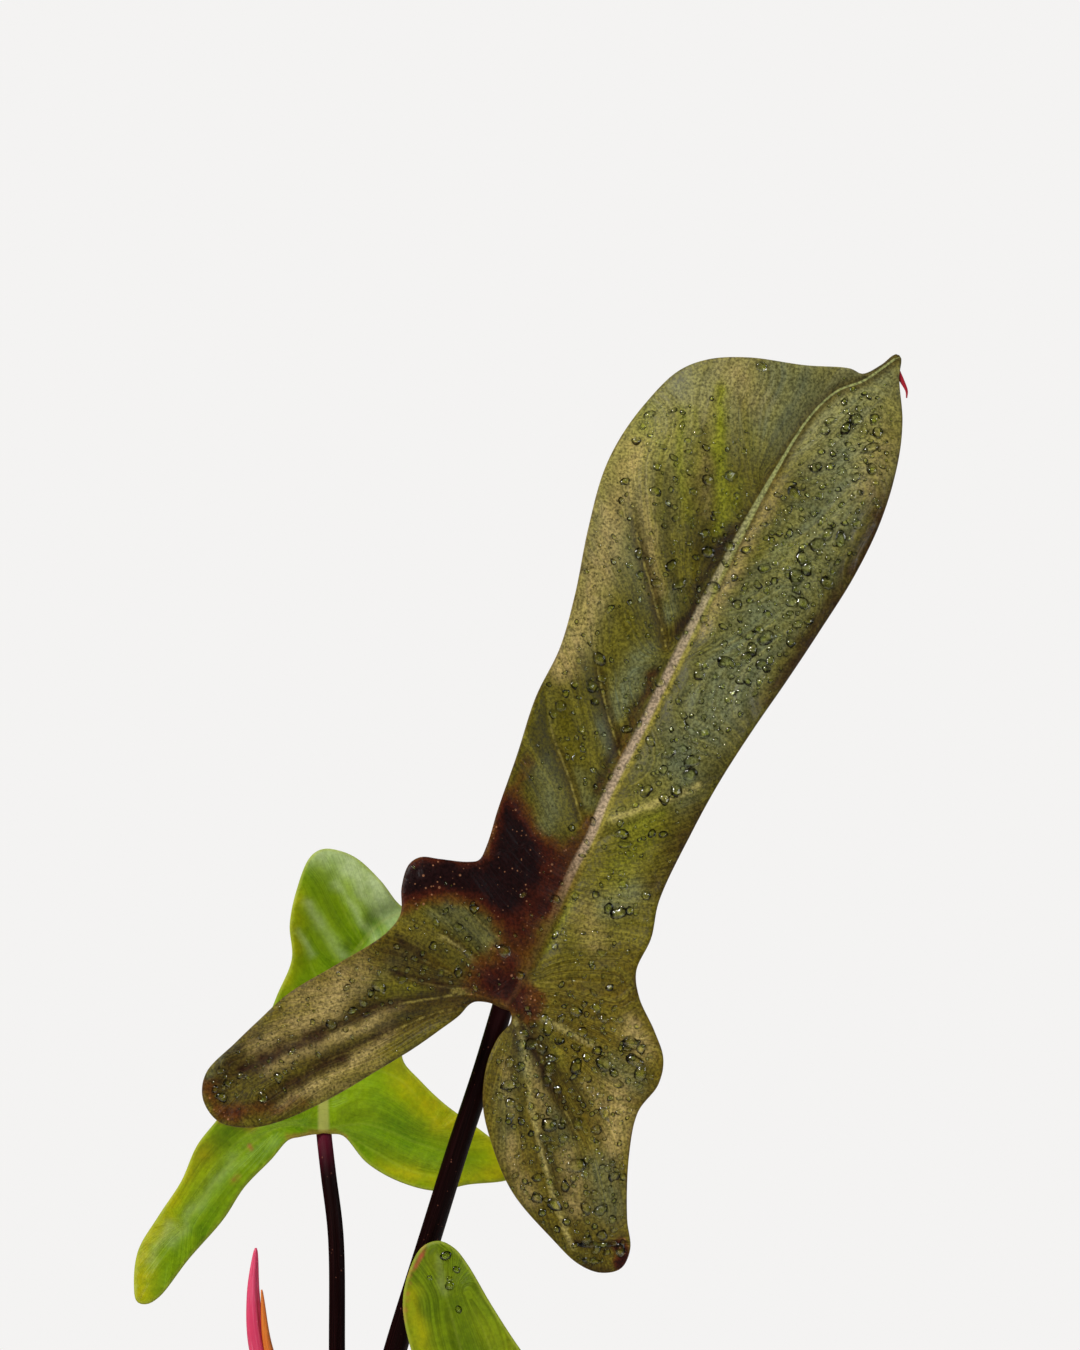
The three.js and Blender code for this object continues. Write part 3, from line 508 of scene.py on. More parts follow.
# %% Blade builder
def build_blade(name, leaf, form, finish, masks):
    """A blade as one thin closed sheet with a rounded rim."""
    drawing = read_drawing(leaf)
    plan, triangles, border = blade_plan(drawing)
    midrib_gap, midrib_along, midrib_side = nearest_on(drawing["midrib"], plan)
    vein_gaps = np.array([nearest_on(line, plan)[0] for line in drawing["veins"]])
    depths = []
    for line, depth in zip(drawing["veins"], drawing["vein_depths"]):
        along = nearest_on(line, plan)[1]
        depths.append(depth * (1 - smooth_share(along / along.max(), *VEIN_FADE)))
    dents = np.exp(-((np.vstack([midrib_gap, vein_gaps]) / QUILT["reach"]) ** 2))
    dents = dents * np.vstack([np.ones(len(plan)), depths])
    groove = np.maximum(dents.max(axis=0), 0)
    raised = np.maximum(-dents.min(axis=0), 0)
    fade = 1 - midrib_along / midrib_along.max()
    puff = 1 - groove + raised
    flow = vein_flow(drawing, plan)
    ridges = np.sin(2 * np.pi * flow / RIDGE["run"] + 2 * np.sin(flow)) * (1 - groove)
    ridge = RIB["rise"] * np.exp(-2 * (midrib_gap / RIB["half_width"]) ** 2) * fade
    pucker = np.array([noise.noise((x / PUCKER["size"], leaf["depth"], z / PUCKER["size"])) for x, z in plan])
    depth = large_form(drawing, plan, leaf["depth"], form)
    front_y = depth - QUILT["rise"] * puff - ridge - PUCKER["rise"] * pucker * puff - RIDGE["rise"] * ridges
    front = np.column_stack([plan[:, 0], front_y, plan[:, 1]])
    slopes = []
    for shift in ((SLOPE_REACH, 0), (0, SLOPE_REACH)):
        ahead = large_form(drawing, plan + shift, leaf["depth"], form)
        behind = large_form(drawing, plan - shift, leaf["depth"], form)
        slopes.append((ahead - behind) / (2 * SLOPE_REACH))
    backward = np.column_stack([-slopes[0], np.ones(len(plan)), -slopes[1]])
    backward /= np.linalg.norm(backward, axis=1)[:, None]
    keel = RIB["keel"] * (1 - 0.75 * (1 - fade)) * np.exp(-((midrib_gap / RIB["half_width"]) ** 2))
    back = front + backward * (BLADE_THICKNESS + keel)[:, None]
    outward = np.zeros_like(plan)
    for a, b in border:
        step = plan[b] - plan[a]
        for end in (a, b):
            outward[end] += (step[1], -step[0])
    rim = np.unique(border)
    outward[rim] /= np.linalg.norm(outward[rim], axis=1)[:, None]
    outward = np.column_stack([outward[rim, 0], 0 * rim, outward[rim, 1]])
    middle = (front[rim] + back[rim]) / 2 + RIM_ROUND * outward
    count = len(plan)
    middle_of = {corner: 2 * count + place for place, corner in enumerate(rim)}
    faces = triangles.tolist() + (triangles[:, [0, 2, 1]] + count).tolist()
    for a, b in border:
        faces.append([a, middle_of[a], middle_of[b], b])
        faces.append([middle_of[a], a + count, b + count, middle_of[b]])
    numbers = {
        "rib_gap": midrib_gap,
        "rib_side": midrib_side * midrib_gap,
        "rib_share": fade,
        "vein_gap": vein_gaps.min(axis=0),
        "vein_show": np.abs(np.array(depths)[vein_gaps.argmin(axis=0), np.arange(len(plan))]),
        "groove": groove,
        "raised": raised,
        "edge_gap": gap_to_rim(drawing["rim"], plan),
        "flow": flow,
        **{label: paint(plan, strokes) for label, strokes in masks.items()},
    }
    numbers = {label: np.concatenate([values, values, values[rim]]) for label, values in numbers.items()}
    numbers["under"] = np.concatenate([np.zeros(count), np.ones(count), np.full(len(rim), 0.5)])
    made = solid_mesh(name, np.vstack([front, back, middle]), faces, finish, numbers)
    print(name, "points:", len(made.data.vertices))
    return made

# %% [markdown]
# ## Effects that several finishes share
# Plant skin, clay and bark all have specks and clouds of colour. Each effect could be added again in every
# material, but a node group is built once, takes its sizes as named inputs and gives back one mask.


# %% Shared shader groups
def new_tree(name, tree_kind, inputs, output, output_kind):
    """A tree with one output and named inputs, each given as its number or as the name of its kind."""
    tree = bpy.data.node_groups.new(name, tree_kind)
    for label, value in inputs.items():
        kind = {float: "Float", int: "Int"}.get(type(value), value)
        socket = tree.interface.new_socket(label, in_out="INPUT", socket_type=f"NodeSocket{kind}")
        if kind != value:
            socket.default_value = value
    tree.interface.new_socket(output, in_out="OUTPUT", socket_type=f"NodeSocket{output_kind}")
    net = Net(tree)
    start = net.add("NodeGroupInput")
    end = net.add("NodeGroupOutput")
    return tree, net, start.outputs, end.inputs[0]


def new_group(name, numbers):
    """A shader group that makes a mask from a place and some named numbers."""
    return new_tree(name, "ShaderNodeTree", {"Place": "Vector", **numbers}, "Mask", "Float")


def specks_group():
    """Small round dots of many sizes: a share of the cells of a cell pattern holds one."""
    tree, net, given, mask = new_group("specks", {"Scale": 1000.0, "Size": 0.3, "Share": 0.5})
    cells = net.add("ShaderNodeTexVoronoi", {"Vector": given["Place"], "Scale": given["Scale"]})
    draw = net.add("ShaderNodeSeparateColor", {0: cells.outputs["Color"]}).outputs
    size = net.times(given["Size"], net.math("MULTIPLY_ADD", draw[1], 0.8, 0.4))
    dot = net.math("SUBTRACT", 1.0, net.between(cells.outputs["Distance"], net.times(size, 0.6), size))
    net.put(mask, net.times(dot, net.math("LESS_THAN", draw[0], given["Share"])))
    return tree


def clouds_group():
    """Soft clouds with a chosen contrast."""
    tree, net, given, mask = new_group("clouds", {"Scale": 100.0, "Contrast": 0.3, "Level": 0.5})
    haze = net.noise(given["Place"], given["Scale"], 4.0, 0.6)
    low = net.math("SUBTRACT", given["Level"], given["Contrast"])
    high = net.math("ADD", given["Level"], given["Contrast"])
    net.put(mask, net.between(haze, low, high))
    return tree


def streaks_group():
    """Long soft stripes that follow the veins: the place is squeezed along the flow of the veins."""
    tree, net, given, mask = new_group("streaks", {"Flow": 0.0, "Scale": 1.0, "Stretch": 40.0, "Level": 0.5})
    across = net.times(given["Flow"], given["Scale"])
    slow = net.split(net.scaled(given["Place"], given["Stretch"]))
    haze = net.noise(net.join(across, slow[0], slow[2]), 1.0, 3.0, 0.6)
    low = net.math("SUBTRACT", given["Level"], 0.12)
    high = net.math("ADD", given["Level"], 0.12)
    net.put(mask, net.between(haze, low, high))
    return tree


SPECKS = specks_group()
CLOUDS = clouds_group()
STREAKS = streaks_group()
print("shared groups:", [tree.name for tree in (SPECKS, CLOUDS, STREAKS)])

# %% [markdown]
# ## The bronze leaf
# The large leaf is olive bronze with a near-black maroon shoulder, golden ridges, blue-grey patches and a
# pinkish midrib. The blue-grey patches are a painted sheen, the golden ridges are partly the leaf's tan and
# partly a painted highlight, and the valleys and the right margin carry painted shade. Painting an image would
# fix these by hand. Instead soft strokes along the veins mark where each tint lies, and noise breaks up their
# edges, so the colour stays sharp at any size.

# %% The bronze leaf's drawing
BRONZE = {
    "junction": (506, 1002),
    "tip": (898, 355),
    "depth": -20,
    "outline": [
        (475, 1000), (468, 1004), (460, 1013), (440, 1028), (413, 1047), (380, 1067), (347, 1087),
        (313, 1105), (277, 1120), (250, 1125), (220, 1119), (205, 1097), (208, 1072), (237, 1042),
        (260, 1020), (290, 993), (340, 963), (387, 933), (402, 913), (403, 886), (410, 864), (421, 857),
        (440, 859), (468, 862), (480, 860), (488, 845), (499, 809), (518, 755), (537, 697), (561, 648),
        (576, 595), (589, 530), (604, 473), (620, 439), (644, 405), (678, 371), (708, 359), (749, 357),
        (807, 365), (851, 368), (864, 373), (883, 364), (898, 353), (902, 356), (900, 376), (903, 420),
        (898, 462), (881, 519), (854, 575), (820, 629), (786, 680), (752, 729), (718, 782), (690, 833),
        (658, 900), (650, 937), (635, 970), (638, 997), (653, 1030), (662, 1058), (657, 1083), (637, 1110),
        (628, 1153), (626, 1217), (629, 1247), (620, 1266), (600, 1270), (578, 1261), (553, 1237),
        (513, 1190), (492, 1140), (484, 1103), (488, 1063), (499, 1037), (512, 1021), (511, 1010),
        (500, 1005), (490, 1001),
    ],
    "midrib": [
        (506, 1006), (517, 990), (533, 960), (553, 920), (575, 870), (593, 836), (609, 796), (641, 734),
        (683, 649), (732, 551), (773, 476), (813, 413), (840, 389), (864, 380), (896, 358),
    ],
    "veins": [
        (1.0, [
            (506, 1004), (472, 993), (430, 998), (396, 1004), (365, 1012), (331, 1028), (284, 1044),
            (235, 1066),
        ]),
        (0.3, [
            (508, 1004), (518, 1019), (523, 1044), (529, 1087), (537, 1131), (549, 1178), (562, 1219),
            (573, 1247),
        ]),
        (1.0, [(666, 646), (654, 598), (637, 534), (630, 466), (640, 425)]),
        (1.0, [(620, 755), (608, 714), (598, 670), (590, 610)]),
        (1.0, [(581, 819), (569, 778), (552, 731), (547, 690)]),
        (0.3, [(756, 497), (741, 450), (735, 405), (745, 375)]),
        (-0.9, [(605, 820), (650, 806), (698, 786)]),
        (0.35, [(672, 665), (718, 649), (759, 626), (790, 600)]),
        (0.25, [(719, 575), (760, 560), (810, 530), (850, 490)]),
        (0.2, [(771, 480), (820, 455), (870, 410)]),
        (0.9, [(485, 988), (450, 987), (420, 981), (394, 972), (370, 966)]),
        (0.9, [(480, 1002), (430, 1014), (390, 1032), (352, 1050), (321, 1062), (296, 1075), (262, 1096)]),
        (0.8, [(530, 960), (490, 930), (450, 890), (425, 872)]),
        (0.8, [(498, 978), (462, 948), (424, 924), (404, 914)]),
        (0.8, [(492, 992), (446, 970), (404, 952), (380, 946)]),
        (0.5, [(533, 983), (565, 980), (612, 984)]),
        (0.8, [(520, 1008), (573, 1033), (620, 1060), (645, 1066)]),
        (1.0, [(522, 1020), (534, 1040), (549, 1075), (562, 1104), (585, 1150), (600, 1210)]),
    ],
}

# %% Where the bronze leaf's tints lie
BRONZE_TINTS = {
    "blush": [
        ([
            (398, 908), (404, 862), (440, 853), (482, 855), (496, 812), (508, 796), (524, 812), (536, 842),
            (540, 872), (524, 900), (504, 920), (484, 908), (455, 896), (425, 898),
        ], 4.6, 1.0, "patch"),
        ([
            (512, 840), (545, 836), (568, 850), (560, 890), (544, 930), (526, 968), (508, 1000), (480, 998),
            (464, 985), (476, 956), (496, 948), (500, 920),
        ], 4.6, 0.62, "patch"),
        ([(208, 1084), (217, 1104), (234, 1114)], 2.4, 0.46),
        ([(240, 1112), (275, 1108), (304, 1100)], 2.6, 0.34),
        ([(515, 985), (540, 998)], 2.2, 0.5),
        ([(598, 790), (617, 761), (635, 722), (655, 672)], 1.6, 0.3),
        ([(619, 1243), (624, 1252), (620, 1262)], 1.6, 0.85),
        ([(516, 790), (528, 760)], 3.0, 0.3),
        ([(500, 985), (515, 1003), (530, 1012)], 3.0, 0.6),
        ([(545, 905), (570, 860), (592, 822)], 2.6, 0.42),
    ],
    "upper": [
        ([
            (590, 560), (622, 420), (690, 350), (890, 355), (900, 470), (840, 480), (770, 440), (700, 450),
            (640, 560),
        ], 11.0, 1.0, "patch"),
        ([(640, 430), (616, 500), (600, 570), (576, 640)], 5.0, 0.9),
    ],
    "earth": [
        ([
            (195, 1110), (400, 915), (480, 985), (560, 975), (650, 960), (680, 1080), (620, 1280),
            (470, 1100), (505, 1020),
        ], 8.0, 1.0, "patch"),
    ],
    # the leaf's own speckled tan, and painted highlights on the ridges of the lobes
    "tan_and_highlight": [
        ([(636, 450), (618, 500), (604, 550), (592, 596), (576, 636), (562, 668)], 3.4, 0.8),
        ([(646, 500), (650, 540), (656, 590)], 1.8, 0.55),
        ([(262, 1046), (289, 1032), (308, 1022), (327, 1011), (341, 997), (350, 984)], 3.2, 0.95),
        ([(300, 1000), (330, 984), (362, 966)], 2.8, 0.6),
        ([(266, 1068), (301, 1051), (327, 1041), (360, 1026), (384, 1012), (400, 1004)], 1.6, 0.9),
        ([(285, 1102), (308, 1089), (327, 1079), (346, 1066), (370, 1046), (391, 1029)], 1.8, 0.95),
        ([(320, 1096), (350, 1080), (378, 1062)], 1.8, 0.4),
        ([(776, 484), (754, 528), (738, 562), (718, 598), (700, 630)], 2.1, 0.5),
        ([(594, 940), (586, 912)], 3.2, 0.4),
        ([(566, 1154), (573, 1180), (576, 1206)], 2.2, 0.8),
        ([(511, 1142), (518, 1170), (532, 1198)], 2.0, 0.6),
        ([(614, 1088), (617, 1115), (614, 1142)], 3.2, 0.9),
        ([(630, 1026), (643, 1050)], 2.4, 0.8),
        ([(590, 1085), (600, 1105)], 2.0, 0.5),
        ([(531, 1064), (540, 1092), (546, 1122)], 1.8, 0.55),
        ([(504, 1060), (510, 1110)], 1.2, 0.35),
        ([(740, 372), (756, 400)], 4.0, 0.4),
        ([(704, 460), (706, 510)], 1.8, 0.3),
        ([(884, 440), (866, 490)], 4.0, 0.35),
    ],
    # painted sheen: blue-grey patches where the wax would reflect the light
    "painted_sheen": [
        ([
            (840, 410), (800, 520), (700, 650), (650, 780), (700, 770), (800, 650), (880, 480),
        ], 9.0, 0.9, "patch"),
        ([(668, 618), (672, 592)], 2.0, 0.9),
        ([(800, 520), (770, 580), (730, 640)], 5.0, 0.6),
        ([(450, 906), (480, 922), (497, 940)], 1.8, 0.5),
        ([(642, 656), (620, 700)], 3.2, 1.0),
        ([(622, 690), (614, 716)], 1.4, 0.8),
        ([(760, 400), (800, 384)], 5.0, 0.5),
        ([(640, 404), (690, 380)], 4.0, 0.35),
        ([(604, 726), (611, 748)], 2.2, 0.8),
        ([(542, 770), (550, 800), (543, 830)], 3.0, 0.6),
        ([(588, 800), (580, 775)], 2.2, 0.5),
        ([(436, 912), (462, 926), (490, 948)], 1.8, 0.55),
        ([(606, 906), (634, 890)], 3.2, 0.8),
        ([(775, 425), (790, 375)], 8.0, 0.7),
        ([(430, 1045), (390, 1068)], 2.0, 0.5),
        ([(690, 770), (686, 800)], 3.6, 0.6),
        ([(506, 1085), (505, 1140)], 2.6, 0.5),
        ([(522, 1044), (525, 1076)], 1.4, 0.9),
        ([(600, 1165), (606, 1204)], 4.4, 0.7),
        ([(613, 1066), (632, 1080)], 3.2, 0.7),
        ([(555, 1114), (566, 1142)], 2.8, 0.5),
        ([(206, 1082), (220, 1061), (240, 1044)], 0.9, 0.9),
        ([(334, 1000), (380, 975), (410, 950)], 2.0, 0.3),
        ([(640, 560), (648, 600)], 3.0, 0.3),
        ([(882, 372), (862, 400)], 4.0, 0.7),
    ],
    "lime": [
        ([(721, 388), (719, 450), (725, 505), (722, 530)], 1.5, 1.0),
        ([(721, 430), (722, 500)], 1.2, 0.9),
        ([(682, 410), (680, 470), (688, 520)], 1.6, 0.7),
        ([(696, 410), (698, 470)], 1.0, 0.5),
        ([(741, 480), (728, 520)], 1.2, 0.6),
        ([(662, 440), (660, 520)], 1.2, 0.35),
        ([(745, 400), (752, 450)], 1.2, 0.3),
        ([(770, 540), (800, 560)], 4.0, 0.12),
        ([(620, 872), (644, 830)], 4.4, 0.45),
        ([(574, 894), (560, 922), (546, 950)], 0.9, 0.9),
        ([(430, 986), (385, 990)], 2.4, 0.4),
        ([(529, 1008)], 1.8, 1.0),
        ([(650, 410), (634, 470)], 2.4, 0.6),
        ([(625, 830), (660, 812)], 1.8, 0.7),
        ([(540, 1020), (560, 1060)], 1.6, 0.4),
    ],
    # dark olive stripes of the leaf, and painted shade in the valleys, beside the midrib and along the right
    # margin
    "deep_and_shade": [
        ([(738, 524), (716, 560), (696, 606), (676, 636)], 2.2, 0.9),
        ([(656, 668), (642, 697), (618, 738), (594, 788)], 1.2, 0.85),
        ([(706, 430), (708, 480), (703, 560)], 1.1, 0.6),
        ([(744, 400), (748, 470)], 1.0, 0.4),
        ([(690, 500), (704, 560)], 2.6, 0.45),
        ([(662, 470), (666, 540), (674, 600)], 2.6, 0.55),
        ([(515, 1024), (517, 1054), (520, 1088), (525, 1130)], 0.8, 0.6),
        ([(526, 1030), (535, 1054), (547, 1076), (556, 1092), (563, 1104)], 1.1, 1.0),
        ([(533, 1020), (551, 1057), (568, 1078), (584, 1098)], 1.8, 0.8),
        ([(540, 1130), (550, 1162), (561, 1195), (568, 1216)], 1.5, 0.8),
        ([(396, 972), (420, 978), (448, 987)], 1.2, 1.0),
        ([(400, 938), (421, 957)], 1.0, 0.8),
        ([(222, 1066), (240, 1048), (264, 1031)], 2.0, 0.6),
        ([(280, 1018), (310, 1000), (345, 980)], 0.7, 0.4),
        ([(560, 880), (545, 912), (524, 955)], 0.9, 0.6),
        ([(892, 430), (876, 510), (832, 590), (770, 690), (712, 782)], 3.4, 0.55),
        ([(744, 560), (700, 640), (650, 740)], 3.0, 0.25),
        ([(445, 996), (400, 1001), (360, 1013), (318, 1034), (273, 1053), (240, 1069)], 1.6, 1.0),
        ([(430, 1010), (395, 1020), (360, 1044), (320, 1065), (278, 1091)], 1.4, 1.0),
        ([(232, 1080), (262, 1086), (240, 1100)], 4.0, 0.45),
        ([(495, 985), (450, 955), (416, 938)], 1.2, 0.6),
        ([(495, 990), (440, 975), (395, 955)], 1.2, 0.6),
        ([(500, 970), (470, 930), (440, 905)], 1.5, 0.5),
        ([(480, 1006), (440, 1020), (408, 1046)], 1.6, 0.5),
        ([(600, 960), (630, 975), (636, 1010)], 3.0, 0.35),
        ([(520, 900), (560, 1000), (600, 990)], 4.0, 0.25),
        ([(560, 680), (530, 760), (506, 830)], 3.0, 0.45),
        ([(505, 1160), (540, 1225), (590, 1262)], 2.0, 0.5),
    ],
    # the valleys' own dark brown, and painted shade in the creases, the water crease near the right lobe's tip
    # and along the right margin
    "stain_and_shade": [
        ([(216, 1082), (236, 1071), (254, 1063), (273, 1053), (299, 1041), (322, 1032)], 1.9, 1.0),
        ([(318, 1034), (340, 1024), (366, 1012), (400, 1001)], 1.1, 0.8),
        ([(259, 1105), (278, 1091), (301, 1077), (320, 1065), (342, 1056)], 1.8, 0.9),
        ([(342, 1056), (372, 1036), (396, 1020)], 1.1, 0.6),
        ([(222, 1068), (236, 1052), (258, 1034)], 1.6, 0.5),
        ([(480, 1000), (440, 1004), (408, 1012)], 0.9, 0.5),
        ([(396, 972), (420, 978), (446, 986)], 1.1, 0.9),
        ([(400, 938), (421, 957)], 0.9, 0.7),
        ([(446, 930), (470, 955), (486, 975)], 0.9, 0.5),
        ([(392, 950), (430, 968), (478, 988)], 3.6, 0.4),
        ([(214, 1092), (246, 1110), (296, 1100)], 4.0, 0.4),
        ([(240, 1062), (300, 1036)], 4.4, 0.25),
        ([(898, 480), (884, 520), (858, 578), (822, 634), (786, 686)], 1.4, 0.6),
        ([(578, 1241), (598, 1244), (620, 1241)], 1.1, 1.0),
        ([(585, 1262), (597, 1267), (612, 1267)], 0.9, 0.8),
        ([(526, 1030), (536, 1056), (547, 1076), (558, 1096)], 1.1, 0.9),
        ([(536, 1024), (553, 1056), (568, 1078), (582, 1096)], 1.5, 0.4),
        ([(541, 1136), (551, 1164), (561, 1192)], 1.1, 0.5),
        ([(515, 1026), (516, 1050)], 0.8, 0.6),
        ([(700, 818), (684, 845), (662, 884)], 4.4, 0.75),
        ([(884, 500), (868, 545), (842, 590), (806, 644), (770, 700)], 2.4, 0.8),
        ([(738, 526), (712, 556), (700, 584), (690, 612), (676, 636)], 1.4, 0.75),
        ([(656, 668), (642, 697), (620, 734), (597, 784)], 0.9, 0.6),
        ([(702, 420), (699, 480), (697, 556)], 1.5, 0.25),
        ([(640, 470), (648, 560), (660, 620)], 1.0, 0.3),
    ],
    "cord": [
        ([
            (518, 1019), (523, 1044), (529, 1087), (537, 1131), (549, 1178), (562, 1219), (573, 1247),
        ], 0.5, 1.0),
        ([(534, 1013), (573, 1033), (592, 1044)], 0.5, 0.7),
        ([(610, 819), (650, 806), (698, 786)], 0.6, 0.8),
        ([(480, 964), (462, 948), (440, 934)], 0.4, 0.5),
    ],
}

# %% The bronze leaf's finish
TEXTURE = {"fine": 1500.0, "medium": 190.0, "broad": 45.0}


def lay_tint(net, base, label, tint, strength, ragged):
    """Adds a painted tint to a colour, mottled by noise."""
    mottle = net.noise(net.place(), TEXTURE["medium"], 4.0, 0.65)
    cloud = net.between(mottle, 0.3, 0.7, 1 - ragged, 1 + ragged)
    amount = net.math("MINIMUM", net.times(net.attribute(label), cloud, strength), 1.0)
    return net.mix(amount, base, tint)


def rounded_band(net, gap, half_width, soft=0.3):
    """1 within a distance of a line, and 0 beyond it."""
    return net.math("SUBTRACT", 1.0, net.between(gap, half_width * (1 - soft), half_width * (1 + soft)))


def bronze_finish():
    material, net, shader = new_material("bronze leaf")
    place = net.place()
    broad = net.group(CLOUDS, scale=TEXTURE["broad"], contrast=0.2)
    medium = net.group(CLOUDS, scale=TEXTURE["medium"], contrast=0.25)
    grain = net.group(CLOUDS, scale=TEXTURE["fine"], contrast=0.15)
    stripes = net.group(STREAKS, flow=net.attribute("flow"), scale=0.55, stretch=22.0)
    skin = net.mix(broad, colour(76, 70, 3), colour(94, 86, 12))
    skin = lay_tint(net, skin, "upper", colour(134, 129, 78), 0.95, 0.25)
    skin = lay_tint(net, skin, "earth", colour(94, 76, 8), 0.9, 0.3)
    # painted sheen: blue-grey where the wax would reflect the light; the same mask lowers the roughness there
    skin = lay_tint(net, skin, "painted_sheen", colour(100, 108, 80), 0.85, 0.35)
    skin = lay_tint(net, skin, "lime", colour(122, 126, 20), 0.9, 0.2)
    # dark olive: the leaf's own stripes, and painted shade in the valleys and along the right margin
    skin = lay_tint(net, skin, "deep_and_shade", colour(46, 40, 3), 1.0, 0.25)
    # tan of the leaf itself, and painted highlights on the ridges
    skin = lay_tint(net, skin, "tan_and_highlight", colour(172, 150, 94), 0.95, 0.5)
    skin = net.over(skin, colour(136, 128, 44), stripes, 0.3)
    lines = net.group(STREAKS, flow=net.attribute("flow"), scale=1.5, stretch=14.0, level=0.52)
    skin = net.over(skin, colour(44, 40, 4), lines, 0.28)
    skin = net.over(skin, colour(50, 46, 4), medium, 0.3)
    # darker in the grooves along the veins: their own darker tone, and painted shade
    valley_tone_and_shade = net.between(net.attribute("groove"), 0.5, 1.0)
    skin = net.over(skin, colour(54, 40, 1), valley_tone_and_shade, 0.7)
    skin = net.over(skin, colour(116, 112, 50), net.attribute("raised"), net.attribute("raised"), 0.6)
    line_noise = net.between(net.noise(place, 400.0, 3.0, 0.6), 0.35, 0.6)
    side_veins = rounded_band(net, net.attribute("vein_gap"), 0.24, 0.9)
    skin = net.over(skin, colour(156, 142, 66), side_veins, net.attribute("vein_show"), line_noise, 0.55)
    skin = net.over(skin, colour(158, 146, 84), net.attribute("cord"), 0.9)
    grain_dots = net.group(SPECKS, scale=1300.0, size=0.42, share=0.6)
    stipple = net.times(grain_dots, net.math("MULTIPLY_ADD", net.attribute("tan_and_highlight"), 0.35, 0.35))
    skin = net.mix(stipple, skin, colour(40, 34, 6))
    # dark brown: partly the valleys' own colour, partly painted shade in the creases and along the right margin
    skin = lay_tint(net, skin, "stain_and_shade", colour(40, 18, 3), 0.9, 0.25)
    cloud = net.math("SUBTRACT", net.noise(place, 240.0, 5.0, 0.7), 0.5)
    blush = net.math("MULTIPLY_ADD", cloud, 0.55, net.attribute("blush"))
    skin = net.mix(net.between(blush, 0.1, 0.5), skin, colour(78, 46, 6))
    skin = net.mix(net.between(blush, 0.42, 0.7), skin, colour(56, 16, 2))
    skin = net.mix(net.between(blush, 0.64, 0.95), skin, colour(20, 1, 1))
    for scale, share in ((560.0, 0.7), (900.0, 0.45)):
        glands = net.group(SPECKS, scale=scale, size=0.19, share=share)
        on_blush = net.times(glands, net.between(net.attribute("blush"), 0.12, 0.4), 0.75)
        skin = net.mix(on_blush, skin, colour(142, 96, 66))
    rib_share = net.attribute("rib_share")
    rib_width = net.between(rib_share, 0.12, 0.52, 0.26, 1.6)
    rib_width = net.times(rib_width, net.between(rib_share, 1.15, 0.8))
    rib_place = net.math("DIVIDE", net.attribute("rib_side"), rib_width)
    on_rib = net.math("SUBTRACT", 1.0, net.between(net.math("ABSOLUTE", rib_place), 0.6, 1.3))
    on_rib = net.times(on_rib, net.between(rib_share, 0.9, 0.76, 0.2, 1.0))
    rib_tone = net.mix(net.between(rib_place, 0.0, 0.55), colour(164, 144, 118), colour(134, 124, 50))
    rib_tone = net.over(rib_tone, colour(136, 140, 86), net.between(rib_share, 0.55, 0.2))
    rib_tone = net.over(rib_tone, colour(92, 62, 12), net.between(rib_share, 0.72, 0.9), 0.85)
    skin = net.over(skin, rib_tone, on_rib, 0.85)
    skin = net.mix(1.0, skin, net.math("MULTIPLY_ADD", grain, 0.78, 0.5), "MULTIPLY")
    ragged_edge = net.between(net.noise(place, 220.0, 3.0, 0.6), 0.35, 0.65)
    margin = rounded_band(net, net.attribute("edge_gap"), 0.22, 0.9)
    skin = net.over(skin, colour(58, 30, 12), margin, ragged_edge, 0.35)
    underside = net.mix(broad, colour(84, 40, 26), colour(106, 58, 34))
    underside = net.over(underside, colour(70, 28, 18), stripes, 0.3)
    underside = net.over(underside, colour(136, 72, 56), side_veins, 0.6)
    underside = net.mix(on_rib, underside, colour(128, 58, 50))
    underside = net.mix(1.0, underside, net.math("MULTIPLY_ADD", grain, 0.3, 0.85), "MULTIPLY")
    skin = net.mix(net.between(net.attribute("under"), 0.55, 0.9), skin, underside)
    skin = net.mix(net.attribute("curl"), skin, colour(132, 20, 34))
    gloss = net.math("MULTIPLY_ADD", net.attribute("painted_sheen"), -0.08, 0.42)
    gloss = net.math("MULTIPLY_ADD", grain, 0.14, gloss)
    cells = net.noise(place, 2000.0, 2.0, 0.6)
    ripple = net.noise(place, 330.0, 3.0, 0.55)
    relief = net.math("MULTIPLY_ADD", ripple, 0.6, net.times(cells, 0.35))
    relief = net.math("MULTIPLY_ADD", stripes, 0.35, relief)
    normal = net.bump(relief, 0.75, 0.0003)
    net.fill(shader, {"Base Color": skin, "Roughness": gloss, "Specular IOR Level": 0.1, "Normal": normal})
    return material


# %% The bronze leaf
bronze_skin = bronze_finish()
bronze_leaf = build_blade("bronze_leaf", BRONZE, bronze_form, bronze_skin, BRONZE_TINTS)
